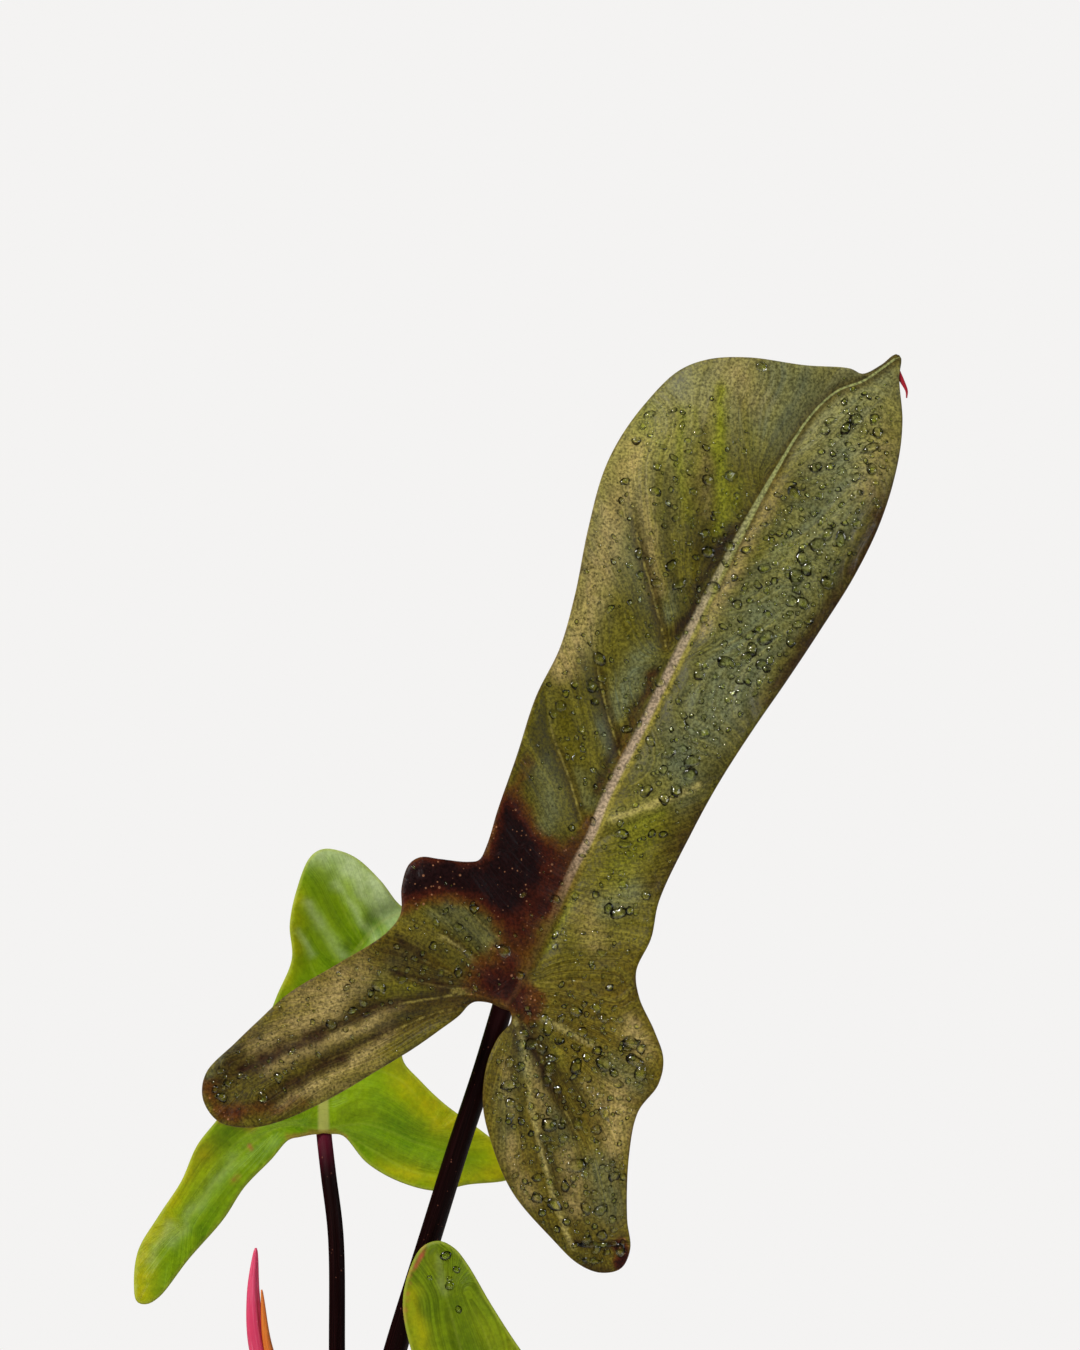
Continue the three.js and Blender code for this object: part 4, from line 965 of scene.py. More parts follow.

# %% [markdown]
# ## The two green leaves
# A younger leaf of this plant is plain green, yellower towards its margin, with pale streaks along its veins
# and a painted whitish sheen near its upper edge. Both green leaves come from the same blade builder and share
# one finish, so only their drawings and tints differ.

# %% The green leaves' drawings
VEIN_DEPTH = 0.8
GREEN = {
    "junction": (323, 1130),
    "tip": (368, 940),
    "depth": 20,
    "outline": [
        (317, 1134), (300, 1137), (288, 1140), (270, 1160), (243, 1188), (222, 1220), (187, 1260),
        (158, 1297), (146, 1304), (137, 1302), (134, 1285), (138, 1252), (158, 1218), (181, 1183),
        (197, 1147), (220, 1117), (245, 1075), (262, 1035), (277, 997), (292, 960), (290, 925), (297, 890),
        (310, 858), (322, 850), (340, 852), (357, 860), (380, 882), (399, 906), (414, 913), (428, 935),
        (442, 965), (440, 1000), (420, 1028), (402, 1046), (402, 1062), (420, 1083), (443, 1105),
        (480, 1132), (500, 1147), (520, 1158), (524, 1170), (509, 1180), (467, 1185), (437, 1191),
        (400, 1182), (367, 1163), (343, 1136), (330, 1134),
    ],
    "midrib": [
        (323, 1132), (323, 1100), (325, 1060), (332, 1010), (345, 970), (361, 944), (382, 922), (408, 910),
    ],
    "veins": [(VEIN_DEPTH, line) for line in [
        [(322, 1130), (280, 1128), (230, 1165), (185, 1225), (150, 1280)],
        [(324, 1130), (365, 1125), (420, 1145), (470, 1160), (512, 1168)],
        [(361, 944), (345, 915), (330, 880), (322, 862)],
        [(345, 972), (318, 930), (305, 895)],
        [(333, 1008), (312, 970), (300, 940)],
        [(326, 1052), (300, 1020), (284, 990)],
        [(350, 965), (385, 975), (425, 985)],
        [(330, 1040), (360, 1020), (405, 1015)],
        [(324, 1080), (360, 1070), (395, 1078), (430, 1112)],
        [(300, 1120), (255, 1130), (215, 1165), (180, 1215)],
        [(335, 1128), (370, 1150), (410, 1172), (450, 1180)],
    ]],
}
LOW = {
    "junction": (486, 1440),
    "tip": (826, 1628),
    "depth": -25,
    "outline": [
        (474, 1439), (450, 1420), (430, 1395), (412, 1347), (404, 1303), (410, 1270), (423, 1246),
        (439, 1240), (454, 1247), (467, 1263), (490, 1302), (518, 1345), (540, 1373), (566, 1384),
        (596, 1380), (622, 1392), (650, 1418), (685, 1440), (728, 1468), (772, 1506), (806, 1552),
        (824, 1600), (832, 1634), (824, 1638), (800, 1622), (760, 1608), (710, 1604), (655, 1598),
        (600, 1588), (552, 1570), (520, 1552), (494, 1550), (468, 1566), (440, 1566), (408, 1553),
        (365, 1556), (318, 1566), (284, 1564), (268, 1545), (274, 1520), (300, 1497), (340, 1475),
        (390, 1458), (440, 1450), (472, 1447),
    ],
    "midrib": [
        (480, 1442), (520, 1452), (570, 1474), (625, 1506), (690, 1546), (755, 1586), (800, 1614),
        (826, 1632),
    ],
    "veins": [(VEIN_DEPTH, line) for line in [
        [(484, 1440), (478, 1400), (462, 1350), (448, 1300), (440, 1258)],
        [(484, 1443), (440, 1480), (380, 1505), (320, 1528), (288, 1540)],
        [(520, 1452), (530, 1420), (560, 1400)],
        [(570, 1474), (600, 1440), (625, 1415)],
        [(625, 1506), (670, 1475), (715, 1478)],
        [(690, 1546), (740, 1530), (785, 1545)],
        [(545, 1463), (530, 1500), (500, 1530)],
        [(600, 1490), (620, 1540), (610, 1575)],
        [(665, 1530), (690, 1565), (700, 1590)],
        [(490, 1440), (500, 1395), (490, 1345), (465, 1290)],
        [(470, 1460), (440, 1510), (400, 1530), (345, 1550)],
    ]],
}
GREEN_TINTS = {
    # pale streaks along the veins; the first, broad stroke is a painted whitish sheen along the upper edge
    "pale": [
        ([(320, 852), (345, 860), (375, 888), (396, 914)], 3.6, 0.85),
        ([(336, 884), (355, 912), (374, 938)], 1.2, 0.4),
        ([(350, 876), (370, 902), (388, 924)], 1.2, 0.45),
        ([(308, 902), (322, 930), (342, 956)], 1.2, 0.4),
        ([(300, 930), (310, 955)], 0.8, 0.4),
        ([(232, 1160), (200, 1202), (170, 1246)], 1.2, 0.2),
        ([(170, 1226), (150, 1262)], 1.0, 0.2),
    ],
    "yellow": [
        ([(296, 900), (292, 945), (282, 985)], 2.6, 0.7),
        ([(200, 1150), (165, 1210), (140, 1260), (140, 1298)], 3.6, 0.85),
        ([(392, 1052), (410, 1090), (440, 1120)], 3.4, 0.6),
        ([(405, 1066), (450, 1115), (505, 1152), (515, 1172)], 4.6, 1.0),
        ([(380, 1166), (440, 1182), (500, 1176)], 2.6, 0.8),
    ],
    "shade": [
        ([(262, 1152), (220, 1200)], 3.0, 0.35),
        ([(350, 1150), (380, 1158)], 3.0, 0.4),
        ([(330, 990), (300, 1000), (285, 1010)], 4.0, 0.5),
    ],
    "flush": [
        # the first stroke is a painted shadow of the bronze lobe, in the reddish flush tint
        ([(222, 1118), (250, 1124)], 1.3, 0.7),
        ([(251, 1148)], 0.7, 0.95),
        ([(288, 1138), (318, 1134), (345, 1138)], 0.5, 0.8),
        ([(240, 1175), (232, 1182)], 0.5, 0.5),
    ],
}
LOW_TINTS = {
    # a painted highlight on the lobe
    "pale": [
        ([(438, 1256), (443, 1290)], 0.8, 0.3),
    ],
    "yellow": [
        ([(412, 1290), (418, 1330), (436, 1380)], 2.2, 0.6),
        ([(440, 1262), (465, 1310), (500, 1350)], 4.0, 0.15),
        ([(600, 1400), (700, 1460), (790, 1540)], 3.0, 0.6),
        ([(300, 1550), (420, 1550), (600, 1575)], 3.0, 0.5),
    ],
    "shade": [
        ([(455, 1300), (480, 1360), (490, 1400)], 3.0, 0.5),
    ],
    "flush": [
        ([(406, 1320), (405, 1300), (411, 1272), (424, 1248)], 0.35, 0.9),
        ([(480, 1441), (520, 1452)], 1.6, 0.6),
    ],
}


# %% The green leaves' finish
def green_finish(name, dark, light, haze):
    material, net, shader = new_material(name)
    place = net.place()
    broad = net.group(CLOUDS, scale=60.0, contrast=0.22)
    medium = net.group(CLOUDS, scale=260.0, contrast=0.2, level=0.52)
    stripes = net.group(STREAKS, flow=net.attribute("flow"), scale=0.8, stretch=18.0)
    skin = net.mix(broad, dark, light)
    skin = net.over(skin, colour(126, 152, 20), stripes, 0.35)
    skin = net.over(skin, dark, medium, 0.3)
    skin = lay_tint(net, skin, "yellow", colour(144, 142, 4), 0.9, 0.35)
    skin = lay_tint(net, skin, "shade", colour(48, 80, 1), 0.8, 0.3)
    # the pale mask gives pale streaks and a painted whitish sheen, in the haze colour
    skin = lay_tint(net, skin, "pale", haze, 0.8, 0.3)
    side_veins = rounded_band(net, net.attribute("vein_gap"), 0.3, 0.9)
    skin = net.over(skin, colour(156, 170, 60), side_veins, net.attribute("vein_show"), 0.2)
    # darker in the grooves along the veins: their own darker tone, and painted shade
    valley_tone_and_shade = net.between(net.attribute("groove"), 0.5, 0.95)
    skin = net.over(skin, dark, valley_tone_and_shade, 0.25)
    grain = net.group(CLOUDS, scale=1100.0, contrast=0.2)
    skin = net.mix(1.0, skin, net.math("MULTIPLY_ADD", grain, 0.24, 0.88), "MULTIPLY")
    rib_share = net.attribute("rib_share")
    rib_place = net.math("DIVIDE", net.attribute("rib_gap"), net.math("MULTIPLY_ADD", rib_share, 1.1, 0.3))
    on_rib = net.math("SUBTRACT", 1.0, net.between(rib_place, 0.6, 1.3))
    skin = net.over(skin, colour(152, 152, 78), on_rib, net.between(rib_share, 0.3, 0.7, 0.15, 0.8))
    skin = lay_tint(net, skin, "flush", colour(150, 62, 50), 0.8, 0.3)
    margin = rounded_band(net, net.attribute("edge_gap"), 0.4, 0.8)
    skin = net.over(skin, colour(150, 158, 56), margin, 0.4)
    underside = net.mix(broad, colour(128, 150, 62), colour(146, 164, 78))
    underside = net.over(underside, colour(166, 176, 104), side_veins, 0.5)
    underside = net.mix(on_rib, underside, colour(160, 120, 84))
    skin = net.mix(net.between(net.attribute("under"), 0.55, 0.9), skin, underside)
    gloss = net.math("MULTIPLY_ADD", medium, 0.1, 0.4)
    relief = net.math("MULTIPLY_ADD", net.noise(place, 420.0, 3.0, 0.55), 0.6, net.times(stripes, 0.5))
    normal = net.bump(relief, 0.45, 0.0002)
    net.fill(shader, {"Base Color": skin, "Roughness": gloss, "Specular IOR Level": 0.09, "Normal": normal})
    return material


# the last colour of each is the tint of the pale streaks and the painted sheen
green_skin = green_finish("green leaf", colour(74, 108, 1), colour(112, 138, 2), colour(170, 186, 136))
low_skin = green_finish("low leaf", colour(54, 74, 1), colour(92, 106, 2), colour(150, 164, 100))


# %% The green leaves
def settle(piece, slot, *nodes):
    """Marks a finished piece: the body it rides on and the solids it stands for, which it hides. Its slot is not
    used.
    """
    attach(piece, "root")
    if nodes:
        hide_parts(*nodes)
    print(piece.name, "faces:", len(piece.data.polygons))


green_leaf = build_blade("green_leaf", GREEN, green_form, green_skin, GREEN_TINTS)
settle(green_leaf, "green_blade", "green_leaf_blade")
low_leaf = build_blade("low_leaf", LOW, low_form, low_skin, LOW_TINTS)
settle(low_leaf, "green_blade", "low_leaf_blade")

# %% [markdown]
# ## Stalks
# Each leaf hangs on a stalk that clasps the stem with a broad foot and then runs slender and even to the
# blade. A curve object with a round bevel would make a tube of one width. The rings are set in code
# instead, because the foot has to swell and the section turns with the path, and two numbers on each point
# tell the shader where it is along and round the stalk.


# %% A tube along a path
def tube_frame(line):
    """Directions across and back for each point of a line, with back close to +Y."""
    along = np.gradient(line, axis=0)
    along /= np.linalg.norm(along, axis=1)[:, None]
    back = np.array([0.0, 1.0, 0.0]) - along * along[:, 1:2]
    back /= np.linalg.norm(back, axis=1)[:, None]
    return np.cross(back, along), back


def ring_faces(sides, rings, foot, tip):
    """Faces of a tube: its rings' points come first, and the points foot and tip close its two ends."""
    last = (rings - 1) * sides
    faces = []
    for k in range(sides):
        after = (k + 1) % sides
        faces += [[foot, after, k], [tip, last + k, last + after]]
        for row in range(0, last, sides):
            faces.append([row + k, row + after, row + sides + after, row + sides + k])
    return faces


def tube_parts(path, radius_at, sides, step, flatness=1.0, section=None):
    """Points and faces of a closed tube, with each point's share of the length and turn."""
    line = smooth_line(path, step)
    shares = np.linspace(0, 1, len(line))
    across, back = tube_frame(line)
    turns = 2 * np.pi * np.arange(sides) / sides
    swell = np.ones((len(line), sides)) if section is None else section(shares[:, None], turns[None, :])
    radii = np.array([radius_at(share) for share in shares])[:, None] * swell
    rings = line[:, None, :] + across[:, None, :] * (radii * np.cos(turns))[:, :, None]
    rings = rings + back[:, None, :] * (radii * flatness * np.sin(turns))[:, :, None]
    points = np.vstack([rings.reshape(-1, 3), line[:1], line[-1:]])
    faces = ring_faces(sides, len(line), len(points) - 2, len(points) - 1)
    share_of = np.concatenate([np.repeat(shares, sides), [0, 1]])
    turn_of = np.concatenate([np.tile(turns, len(line)), [0, 0]])
    return points, faces, share_of, turn_of


def tube_piece(name, finish, *tube):
    points, faces, shares, turns = tube_parts(*tube)
    return solid_mesh(name, points, faces, finish, {"share": shares, "turn": turns})


# %% [markdown]
# ## The curl near the tip
# A thin strip of the large leaf's margin has curled forward and turned red below the tip. Pulling it out of
# the blade's own faces would crowd them. A small tapered tube that starts on the blade is joined to the
# leaf instead.


# %% The margin's curl near the tip
def points_of(piece):
    """The places of a piece's points in millimetres."""
    spots = np.zeros(len(piece.data.vertices) * 3)
    piece.data.vertices.foreach_get("co", spots)
    return spots.reshape(-1, 3) / MM


def spot_on_front(leaf, column, row):
    """The place on the front of a leaf, in millimetres, that the sheet's column and row name."""
    under = np.zeros(len(leaf.data.vertices))
    leaf.data.attributes["under"].data.foreach_get("value", under)
    front = points_of(leaf)[under < 0.1]
    wanted = on_sheet([column, row])[0]
    near = np.argsort(np.sum((front[:, [0, 2]] - wanted) ** 2, axis=1))[:4]
    return np.array([wanted[0], front[near, 1].mean(), wanted[1]])


CURL = [(898, 370), (904, 381), (908, 390), (908, 397)]
CURL_BEHIND_FRONT = 0.9
CLEAR_OF_EDGE = 9.0
curl_path = [spot_on_front(bronze_leaf, *place) + (0, CURL_BEHIND_FRONT, 0) for place in CURL]
points, faces, *_ = tube_parts(curl_path, lambda share: 0.85 - 0.7 * share, 12, 0.4, 0.5)
marks = {"curl": np.ones(len(points)), "edge_gap": np.full(len(points), CLEAR_OF_EDGE)}
curl = solid_mesh("curl", points, faces, bronze_skin, marks)
with bpy.context.temp_override(active_object=bronze_leaf, selected_editable_objects=[bronze_leaf, curl]):
    bpy.ops.object.join()
settle(bronze_leaf, "bronze_blade", "bronze_leaf_blade")


# %% The stalks' finish
def lines_along(net, round_scale, length_scale):
    """Fine lines along a tube, from the share of its length and turn that each point carries."""
    across = net.times(net.attribute("turn"), round_scale)
    along = net.times(net.attribute("share"), length_scale)
    return net.noise(net.join(across, 0.0, along), 1.0, 3.0, 0.6)


def stalk_finish(name, flush):
    """Near-black maroon skin with pale specks and fine lines; flush tints the end below the blade."""
    material, net, shader = new_material(name)
    share = net.attribute("share")
    fine_lines = lines_along(net, 9.0, 6.0)
    skin = net.mix(net.between(fine_lines, 0.4, 0.7), colour(10, 1, 1), colour(26, 6, 6))
    skin = net.over(skin, flush, net.between(share, 0.88, 1.0), 0.8)
    specks = net.group(SPECKS, scale=900.0, size=0.2, share=0.25)
    skin = net.over(skin, colour(120, 74, 58), specks, 0.5)
    skin = net.over(skin, colour(74, 52, 26), net.between(share, 0.12, 0.0), 0.7)
    net.fill(shader, {
        "Base Color": skin,
        "Roughness": net.math("MULTIPLY_ADD", fine_lines, 0.14, 0.34),
        "Specular IOR Level": 0.04,
        "Normal": net.bump(fine_lines, 0.4, 0.0003),
    })
    return material


# %% The stalks
STALKS = {
    "bronze": {
        "path": [
            (0, 0, 150), (4, -3.4, 166), (8.6, -6, 183), (13.4, -8, 200.5), (21.8, -10.5, 227.6),
            (28.3, -12.4, 248.5), (34.4, -14.6, 267), (38.6, -16.6, 281), (39.9, -17.4, 285.4),
        ],
        "radius": 2.9,
        "foot": 4.6,
        "flush": (40, 12, 14),
    },
    "green": {
        "path": [
            (0, 1, 136), (-0.6, 6, 152), (-0.9, 8.6, 172), (-0.8, 10.5, 200), (-1.1, 14, 227),
            (-2.9, 18, 242), (-3.9, 21.3, 250.6), (-4.1, 22, 253.2),
        ],
        "radius": 2.1,
        "foot": 3.6,
        "flush": (84, 18, 36),
    },
    "low": {
        "path": [
            (0, -1, 118), (3.6, -7.4, 131), (11, -12.8, 147), (21, -15.6, 163), (30, -17.8, 175),
            (34.6, -20.8, 179.4), (36, -22.4, 180.4),
        ],
        "radius": 2.1,
        "foot": 3.6,
        "flush": (70, 26, 26),
    },
}


FOOT_END = (0.03, 0.22)
STALK_TAPER = 0.12


def stalk_radius(radius, foot):
    """The radius along a stalk: a broad foot, then a slender and slightly tapered run."""
    def radius_at(share):
        return radius + (foot - radius) * (1 - smooth_share(share, *FOOT_END)) - STALK_TAPER * radius * share
    return radius_at


for leaf_name, stalk in STALKS.items():
    skin = stalk_finish(f"{leaf_name} stalk", colour(*stalk["flush"]))
    radius_at = stalk_radius(stalk["radius"], stalk["foot"])
    made = tube_piece(f"{leaf_name}_stalk", skin, stalk["path"], radius_at, 28, 1.2)
    settle(made, "stalk", f"{leaf_name}_leaf_stalk")

# %% [markdown]
# ## The growing tip
# A new leaf of this plant comes out as a tight roll inside a pink sheath, which later dries and falls. Two
# slim tapered tubes give both. The sheath's section has two low keels and an open groove where the roll
# comes out, and the roll has one spiral seam, which a plain cone would lack.


# %% The sheath and the roll
def shoot_radius(foot, tip, taper):
    return lambda share: tip + (foot - tip) * (1 - share) ** taper


def sheath_section(share, turn):
    """Two low keels and an open groove."""
    keels = 0.1 * np.exp(-((turn - 2.3) ** 2) / 0.06) + 0.1 * np.exp(-((turn - 3.9) ** 2) / 0.06)
    groove = 0.2 * np.exp(-((turn - 5.5) ** 2) / 0.1)
    return 1 + keels - groove + 0 * share


def roll_section(share, turn):
    """A round section with one seam that winds up the roll."""
    seam = (turn - 5.0 * share - 3.6) % (2 * np.pi)
    return 1 - 0.13 * np.exp(-((seam - np.pi) ** 2) / 0.05) + 0.04 * np.sin(turn)


def shoot_finish(name, low_tint, high_tint, line_tint, speck_share):
    material, net, shader = new_material(name)
    share = net.attribute("share")
    fine_lines = lines_along(net, 6.0, 5.0)
    skin = net.mix(net.between(share, 0.2, 0.9), low_tint, high_tint)
    skin = net.over(skin, line_tint, net.between(fine_lines, 0.45, 0.7), 0.5)
    specks = net.group(SPECKS, scale=900.0, size=0.22, share=speck_share)
    skin = net.over(skin, line_tint, specks, 0.4)
    net.fill(shader, {
        "Base Color": skin,
        "Roughness": 0.42,
        "Subsurface Weight": 0.08,
        "Subsurface Scale": 0.002,
        "Normal": net.bump(fine_lines, 0.4, 0.0003),
    })
    return material


SHEATH_PATH = [
    (-1.5, 0, 158), (-8, -0.3, 174), (-15, -0.4, 188), (-19.6, -0.2, 201), (-20.8, 0, 213),
    (-20.2, 0.2, 224.5),
]
ROLL_PATH = [(-1, -1.6, 158), (-6.4, -2.2, 174), (-13, -2.3, 188), (-17.3, -1.7, 201), (-18.8, -1.1, 214.5)]
pink = shoot_finish("pink sheath", colour(158, 26, 62), colour(186, 42, 82), colour(214, 110, 138), 0.2)
orange = shoot_finish("rolled leaf", colour(134, 48, 12), colour(186, 92, 14), colour(196, 140, 44), 0.4)
sheath = (SHEATH_PATH, shoot_radius(4.4, 0.25, 0.62), 36, 0.8, 0.8, sheath_section)
settle(tube_piece("pink_cataphyll", pink, *sheath), "pink_sheath", "pink_sheath")
roll = (ROLL_PATH, shoot_radius(2.9, 0.2, 0.75), 32, 0.8, 1.0, roll_section)
settle(tube_piece("rolled_new_leaf", orange, *roll), "new_leaf", "new_leaf_roll")

# %% [markdown]
# ## The stem and its roots
# The short stem keeps a raised ring where each old leaf sat, and thick roots leave it under the mix. Ring
# after ring could be cut with loops, but here the stem's radius is a formula: a slow taper with one small
# swelling for each ring. The roots are tubes that start inside the stem, and one union joins them with it.

# %% Stem and roots
STEM = {"foot": 62, "top": 166, "foot_radius": 8.5, "top_radius": 6, "ring_rise": 1.3, "ring_reach": 1.7}
STEM_RINGS = [112, 122, 131, 143, 157]
ROOT = {"count": 6, "rise": 70, "reach": 27, "drop": 32, "thick": 2.6, "thin": 1.1}


def random_from(seed):
    """A repeatable stream of random numbers between 0 and 1."""
    state = seed
    while True:
        state = state * 16807 % 2147483647
        yield state / 2147483647


def stem_radius(share):
    height = STEM["foot"] + (STEM["top"] - STEM["foot"]) * share
    taper = STEM["foot_radius"] + (STEM["top_radius"] - STEM["foot_radius"]) * share
    rings = sum(math.exp(-(((height - ring) / STEM["ring_reach"]) ** 2)) for ring in STEM_RINGS)
    crown = math.sqrt(max(0.02, 1 - (max(0, share - 0.94) / 0.06) ** 2 * 0.8))
    return (taper + STEM["ring_rise"] * rings) * crown


def stem_finish():
    material, net, shader = new_material("stem")
    place = net.place()
    height = net.split(place)[2]
    broad = net.group(CLOUDS, scale=120.0, contrast=0.2)
    fibre = net.noise(net.vector("MULTIPLY", place, (900.0, 900.0, 60.0)), 1.0, 4.0, 0.6)
    skin = net.mix(broad, colour(84, 96, 34), colour(122, 128, 52))
    skin = net.over(skin, colour(120, 96, 52), net.between(fibre, 0.45, 0.75), 0.6)
    scars = 0.0
    for ring in STEM_RINGS:
        gap = net.math("ABSOLUTE", net.math("SUBTRACT", height, ring * MM))
        scars = net.math("MAXIMUM", scars, net.between(gap, 0.0026, 0.0008))
    ragged = net.times(scars, net.between(net.noise(place, 500.0, 3.0), 0.3, 0.6))
    skin = net.over(skin, colour(92, 62, 34), ragged, 0.85)
    buried = net.between(height, 0.108, 0.102)
    skin = net.over(skin, colour(150, 112, 74), buried, 0.85)
    gloss = net.math("MULTIPLY_ADD", scars, 0.3, 0.5)
    normal = net.bump(net.math("ADD", fibre, net.times(ragged, 0.5)), 0.6, 0.0006)
    net.fill(shader, {"Base Color": skin, "Roughness": gloss, "Normal": normal})
    return material


def apply_modifiers(piece):
    """Turns what the modifiers make into the piece's own plain mesh."""
    depsgraph = bpy.context.evaluated_depsgraph_get()
    result = bpy.data.meshes.new_from_object(piece.evaluated_get(depsgraph))
    piece.modifiers.clear()
    piece.data = result


def combine(piece, operation, tools):
    """Joins closed bodies to a piece, or cuts them out of it, and takes them away afterwards."""
    for tool in tools:
        modifier = piece.modifiers.new(tool.name, "BOOLEAN")
        modifier.operation = operation
        modifier.solver = "EXACT"
        modifier.object = tool
    apply_modifiers(piece)
    for tool in tools:
        bpy.data.objects.remove(tool)


def root_radius(share):
    return ROOT["thick"] + (ROOT["thin"] - ROOT["thick"]) * share


stem_skin = stem_finish()
STEM_PATH = [(0, 0, 62), (0.4, 0.3, 103.6), (-0.4, -0.2, 146), (-1, -0.3, 166)]
points, faces, *_ = tube_parts(STEM_PATH, stem_radius, 44, 0.5)
stem_piece = solid_mesh("stem_and_roots", points, faces, stem_skin)
draws = random_from(3)
roots = []
for number in range(ROOT["count"]):
    heading = 2 * math.pi * (number + 0.5 * next(draws)) / ROOT["count"]
    rise = ROOT["rise"] + 14 * next(draws)
    path = []
    for share in (0, 0.3, 0.65, 1):
        reach = 3 + ROOT["reach"] * math.sqrt(share) + 3 * next(draws)
        height = rise - ROOT["drop"] * share**2 - 6 * share
        path.append((math.cos(heading) * reach, math.sin(heading) * reach, height))
    points, faces, *_ = tube_parts(path, root_radius, 16, 1.5)
    roots.append(solid_mesh("thick root", points, faces, stem_skin))
combine(stem_piece, "UNION", roots)
settle(stem_piece, "stem", "main_stem")

# %% [markdown]
# ## The clay pot
# A plain flower pot is thrown or pressed from red clay and fired unglazed. Turning one profile about the Z
# axis gives it exactly. Its corners are rounded on the profile first, because a bevel on the finished pot
# would leave uneven faces round the drain holes, which are cut last.

# %% Pot profile
POT = {
    "height": 115, "foot_radius": 43, "collar_radius": 59, "rim_radius": 65, "rim_height": 25, "wall": 4.5,
    "floor": 6, "edge": 1.5, "sectors": 144,
}
BAND = POT["height"] - POT["rim_height"]
DRAIN_HOLE = {"radius": 5, "from_centre": 22, "count": 3}
SHARP_FROM = 50


def body_radius(height):
    """The outer radius of the pot's tapered body at a height."""
    return POT["foot_radius"] + (POT["collar_radius"] - POT["foot_radius"]) * height / BAND


def rounded_profile(corners, arc_points=7):
    """The corners of a profile, each as radius, height and rounding, with every corner made a small arc."""
    profile = []
    spots = [np.array(corner[:2], dtype=float) for corner in corners]
    for number, (spot, corner) in enumerate(zip(spots, corners)):
        rounding = corner[2]
        if rounding == 0:
            profile.append(spot)
            continue
        into = spots[number - 1] - spot
        out = spots[number + 1] - spot
        start = spot + into / np.linalg.norm(into) * rounding
        end = spot + out / np.linalg.norm(out) * rounding
        for share in np.linspace(0, 1, arc_points):
            profile.append((1 - share) ** 2 * start + 2 * share * (1 - share) * spot + share**2 * end)
    return profile


def lathe_faces(sectors, last):
    """Faces between rings round an axis, from point 0 at its foot to the last point at its top."""
    faces = []
    for k in range(sectors):
        after = (k + 1) % sectors
        faces.append([0, 1 + after, 1 + k])
        for row in range(1, last - sectors, sectors):
            faces.append([row + k, row + after, row + sectors + after, row + sectors + k])
        faces.append([last, last - sectors + k, last - sectors + after])
    return faces


def turned(profile, sectors):
    """Points and faces of a profile turned about Z, from the axis at the foot round to the axis again."""
    turns = 2 * np.pi * np.arange(sectors) / sectors
    points = [(0, 0, profile[0][1])]
    for radius, height in profile[1:-1]:
        points += [(radius * math.cos(turn), radius * math.sin(turn), height) for turn in turns]
    points.append((0, 0, profile[-1][1]))
    return points, lathe_faces(sectors, len(points) - 1)


wall, edge = POT["wall"], POT["edge"]
profile = rounded_profile([
    (0, 0, 0),
    (POT["foot_radius"], 0, edge),
    (body_radius(BAND * 0.5), BAND * 0.5, 0),
    (POT["collar_radius"], BAND - 0.2, 0.8),
    (POT["rim_radius"] - 1.8, BAND, edge),
    (POT["rim_radius"], POT["height"], edge * 1.2),
    (POT["rim_radius"] - wall - 1.5, POT["height"], edge),
    (POT["collar_radius"] - wall + 1, BAND, 1.2),
    (body_radius(POT["floor"]) - wall, POT["floor"], 2.0),
    (0, POT["floor"], 0),
])
print("points on the pot's profile:", len(profile))


# %% Pot finish
def clay_finish():
    """Fired clay: a warm matt red with fine grit, turning lines, and pale salt marks that gather towards the
    foot.
    """
    material, net, shader = new_material("fired clay")
    place = net.place()
    height = net.split(place)[2]
    broad = net.group(CLOUDS, scale=22.0, contrast=0.25)
    grit = net.group(SPECKS, scale=520.0, size=0.3, share=0.35)
    sand = net.noise(place, 1300.0, 3.0, 0.6)
    skin = net.mix(broad, colour(176, 98, 62), colour(196, 120, 82))
    skin = net.over(skin, colour(128, 66, 42), grit, 0.4)
    skin = net.over(skin, colour(214, 150, 112), net.between(sand, 0.5, 0.75), 0.3)
    salt = net.group(CLOUDS, scale=48.0, contrast=0.1, level=0.58)
    low_part = net.between(height, 0.05, 0.0)
    salt_share = net.times(salt, net.math("MULTIPLY_ADD", low_part, 0.5, 0.12))
    skin = net.mix(salt_share, skin, colour(226, 206, 190))
    gloss = net.math("MULTIPLY_ADD", sand, 0.15, 0.78)
    turning_lines = net.noise(net.join(z=height), 900.0, 3.0, 0.7)
    relief = net.math("MULTIPLY_ADD", sand, 0.5, net.times(turning_lines, 0.6))
    normal = net.bump(net.math("SUBTRACT", relief, net.times(grit, 0.3)), 0.5, 0.0005)
    net.fill(shader, {"Base Color": skin, "Roughness": gloss, "Specular IOR Level": 0.3, "Normal": normal})
    return material


# %% The pot
points, faces = turned(profile, POT["sectors"])
clay = clay_finish()
clay_pot = solid_mesh("clay_pot", points, faces, clay)
drills = []
for number in range(DRAIN_HOLE["count"]):
    heading = 2 * math.pi * number / DRAIN_HOLE["count"]
    x, y = (DRAIN_HOLE["from_centre"] * f(heading) for f in (math.cos, math.sin))
    low, high = -POT["floor"], 2 * POT["floor"]
    rod = [(0, low), (DRAIN_HOLE["radius"], low), (DRAIN_HOLE["radius"], high), (0, high)]
    points, faces = turned(rod, 32)
    drills.append(solid_mesh("drill", np.array(points) + (x, y, 0), faces, clay))
combine(clay_pot, "DIFFERENCE", drills)
clay_pot.data.shade_smooth()
clay_pot.data.set_sharp_from_angle(angle=math.radians(SHARP_FROM))
settle(clay_pot, "clay", "pot")

# %% [markdown]
# ## The potting mix
# Aroids grow in a coarse mix of bark, fibre and white perlite. The bed is a closed body with an uneven top,
# given by the same waves as the frame's solid. The bark and the perlite are scattered on it with Geometry
# Nodes: by hand nobody would place hundreds of chips, and a rule with a fixed seed gives the same bed each
# time.

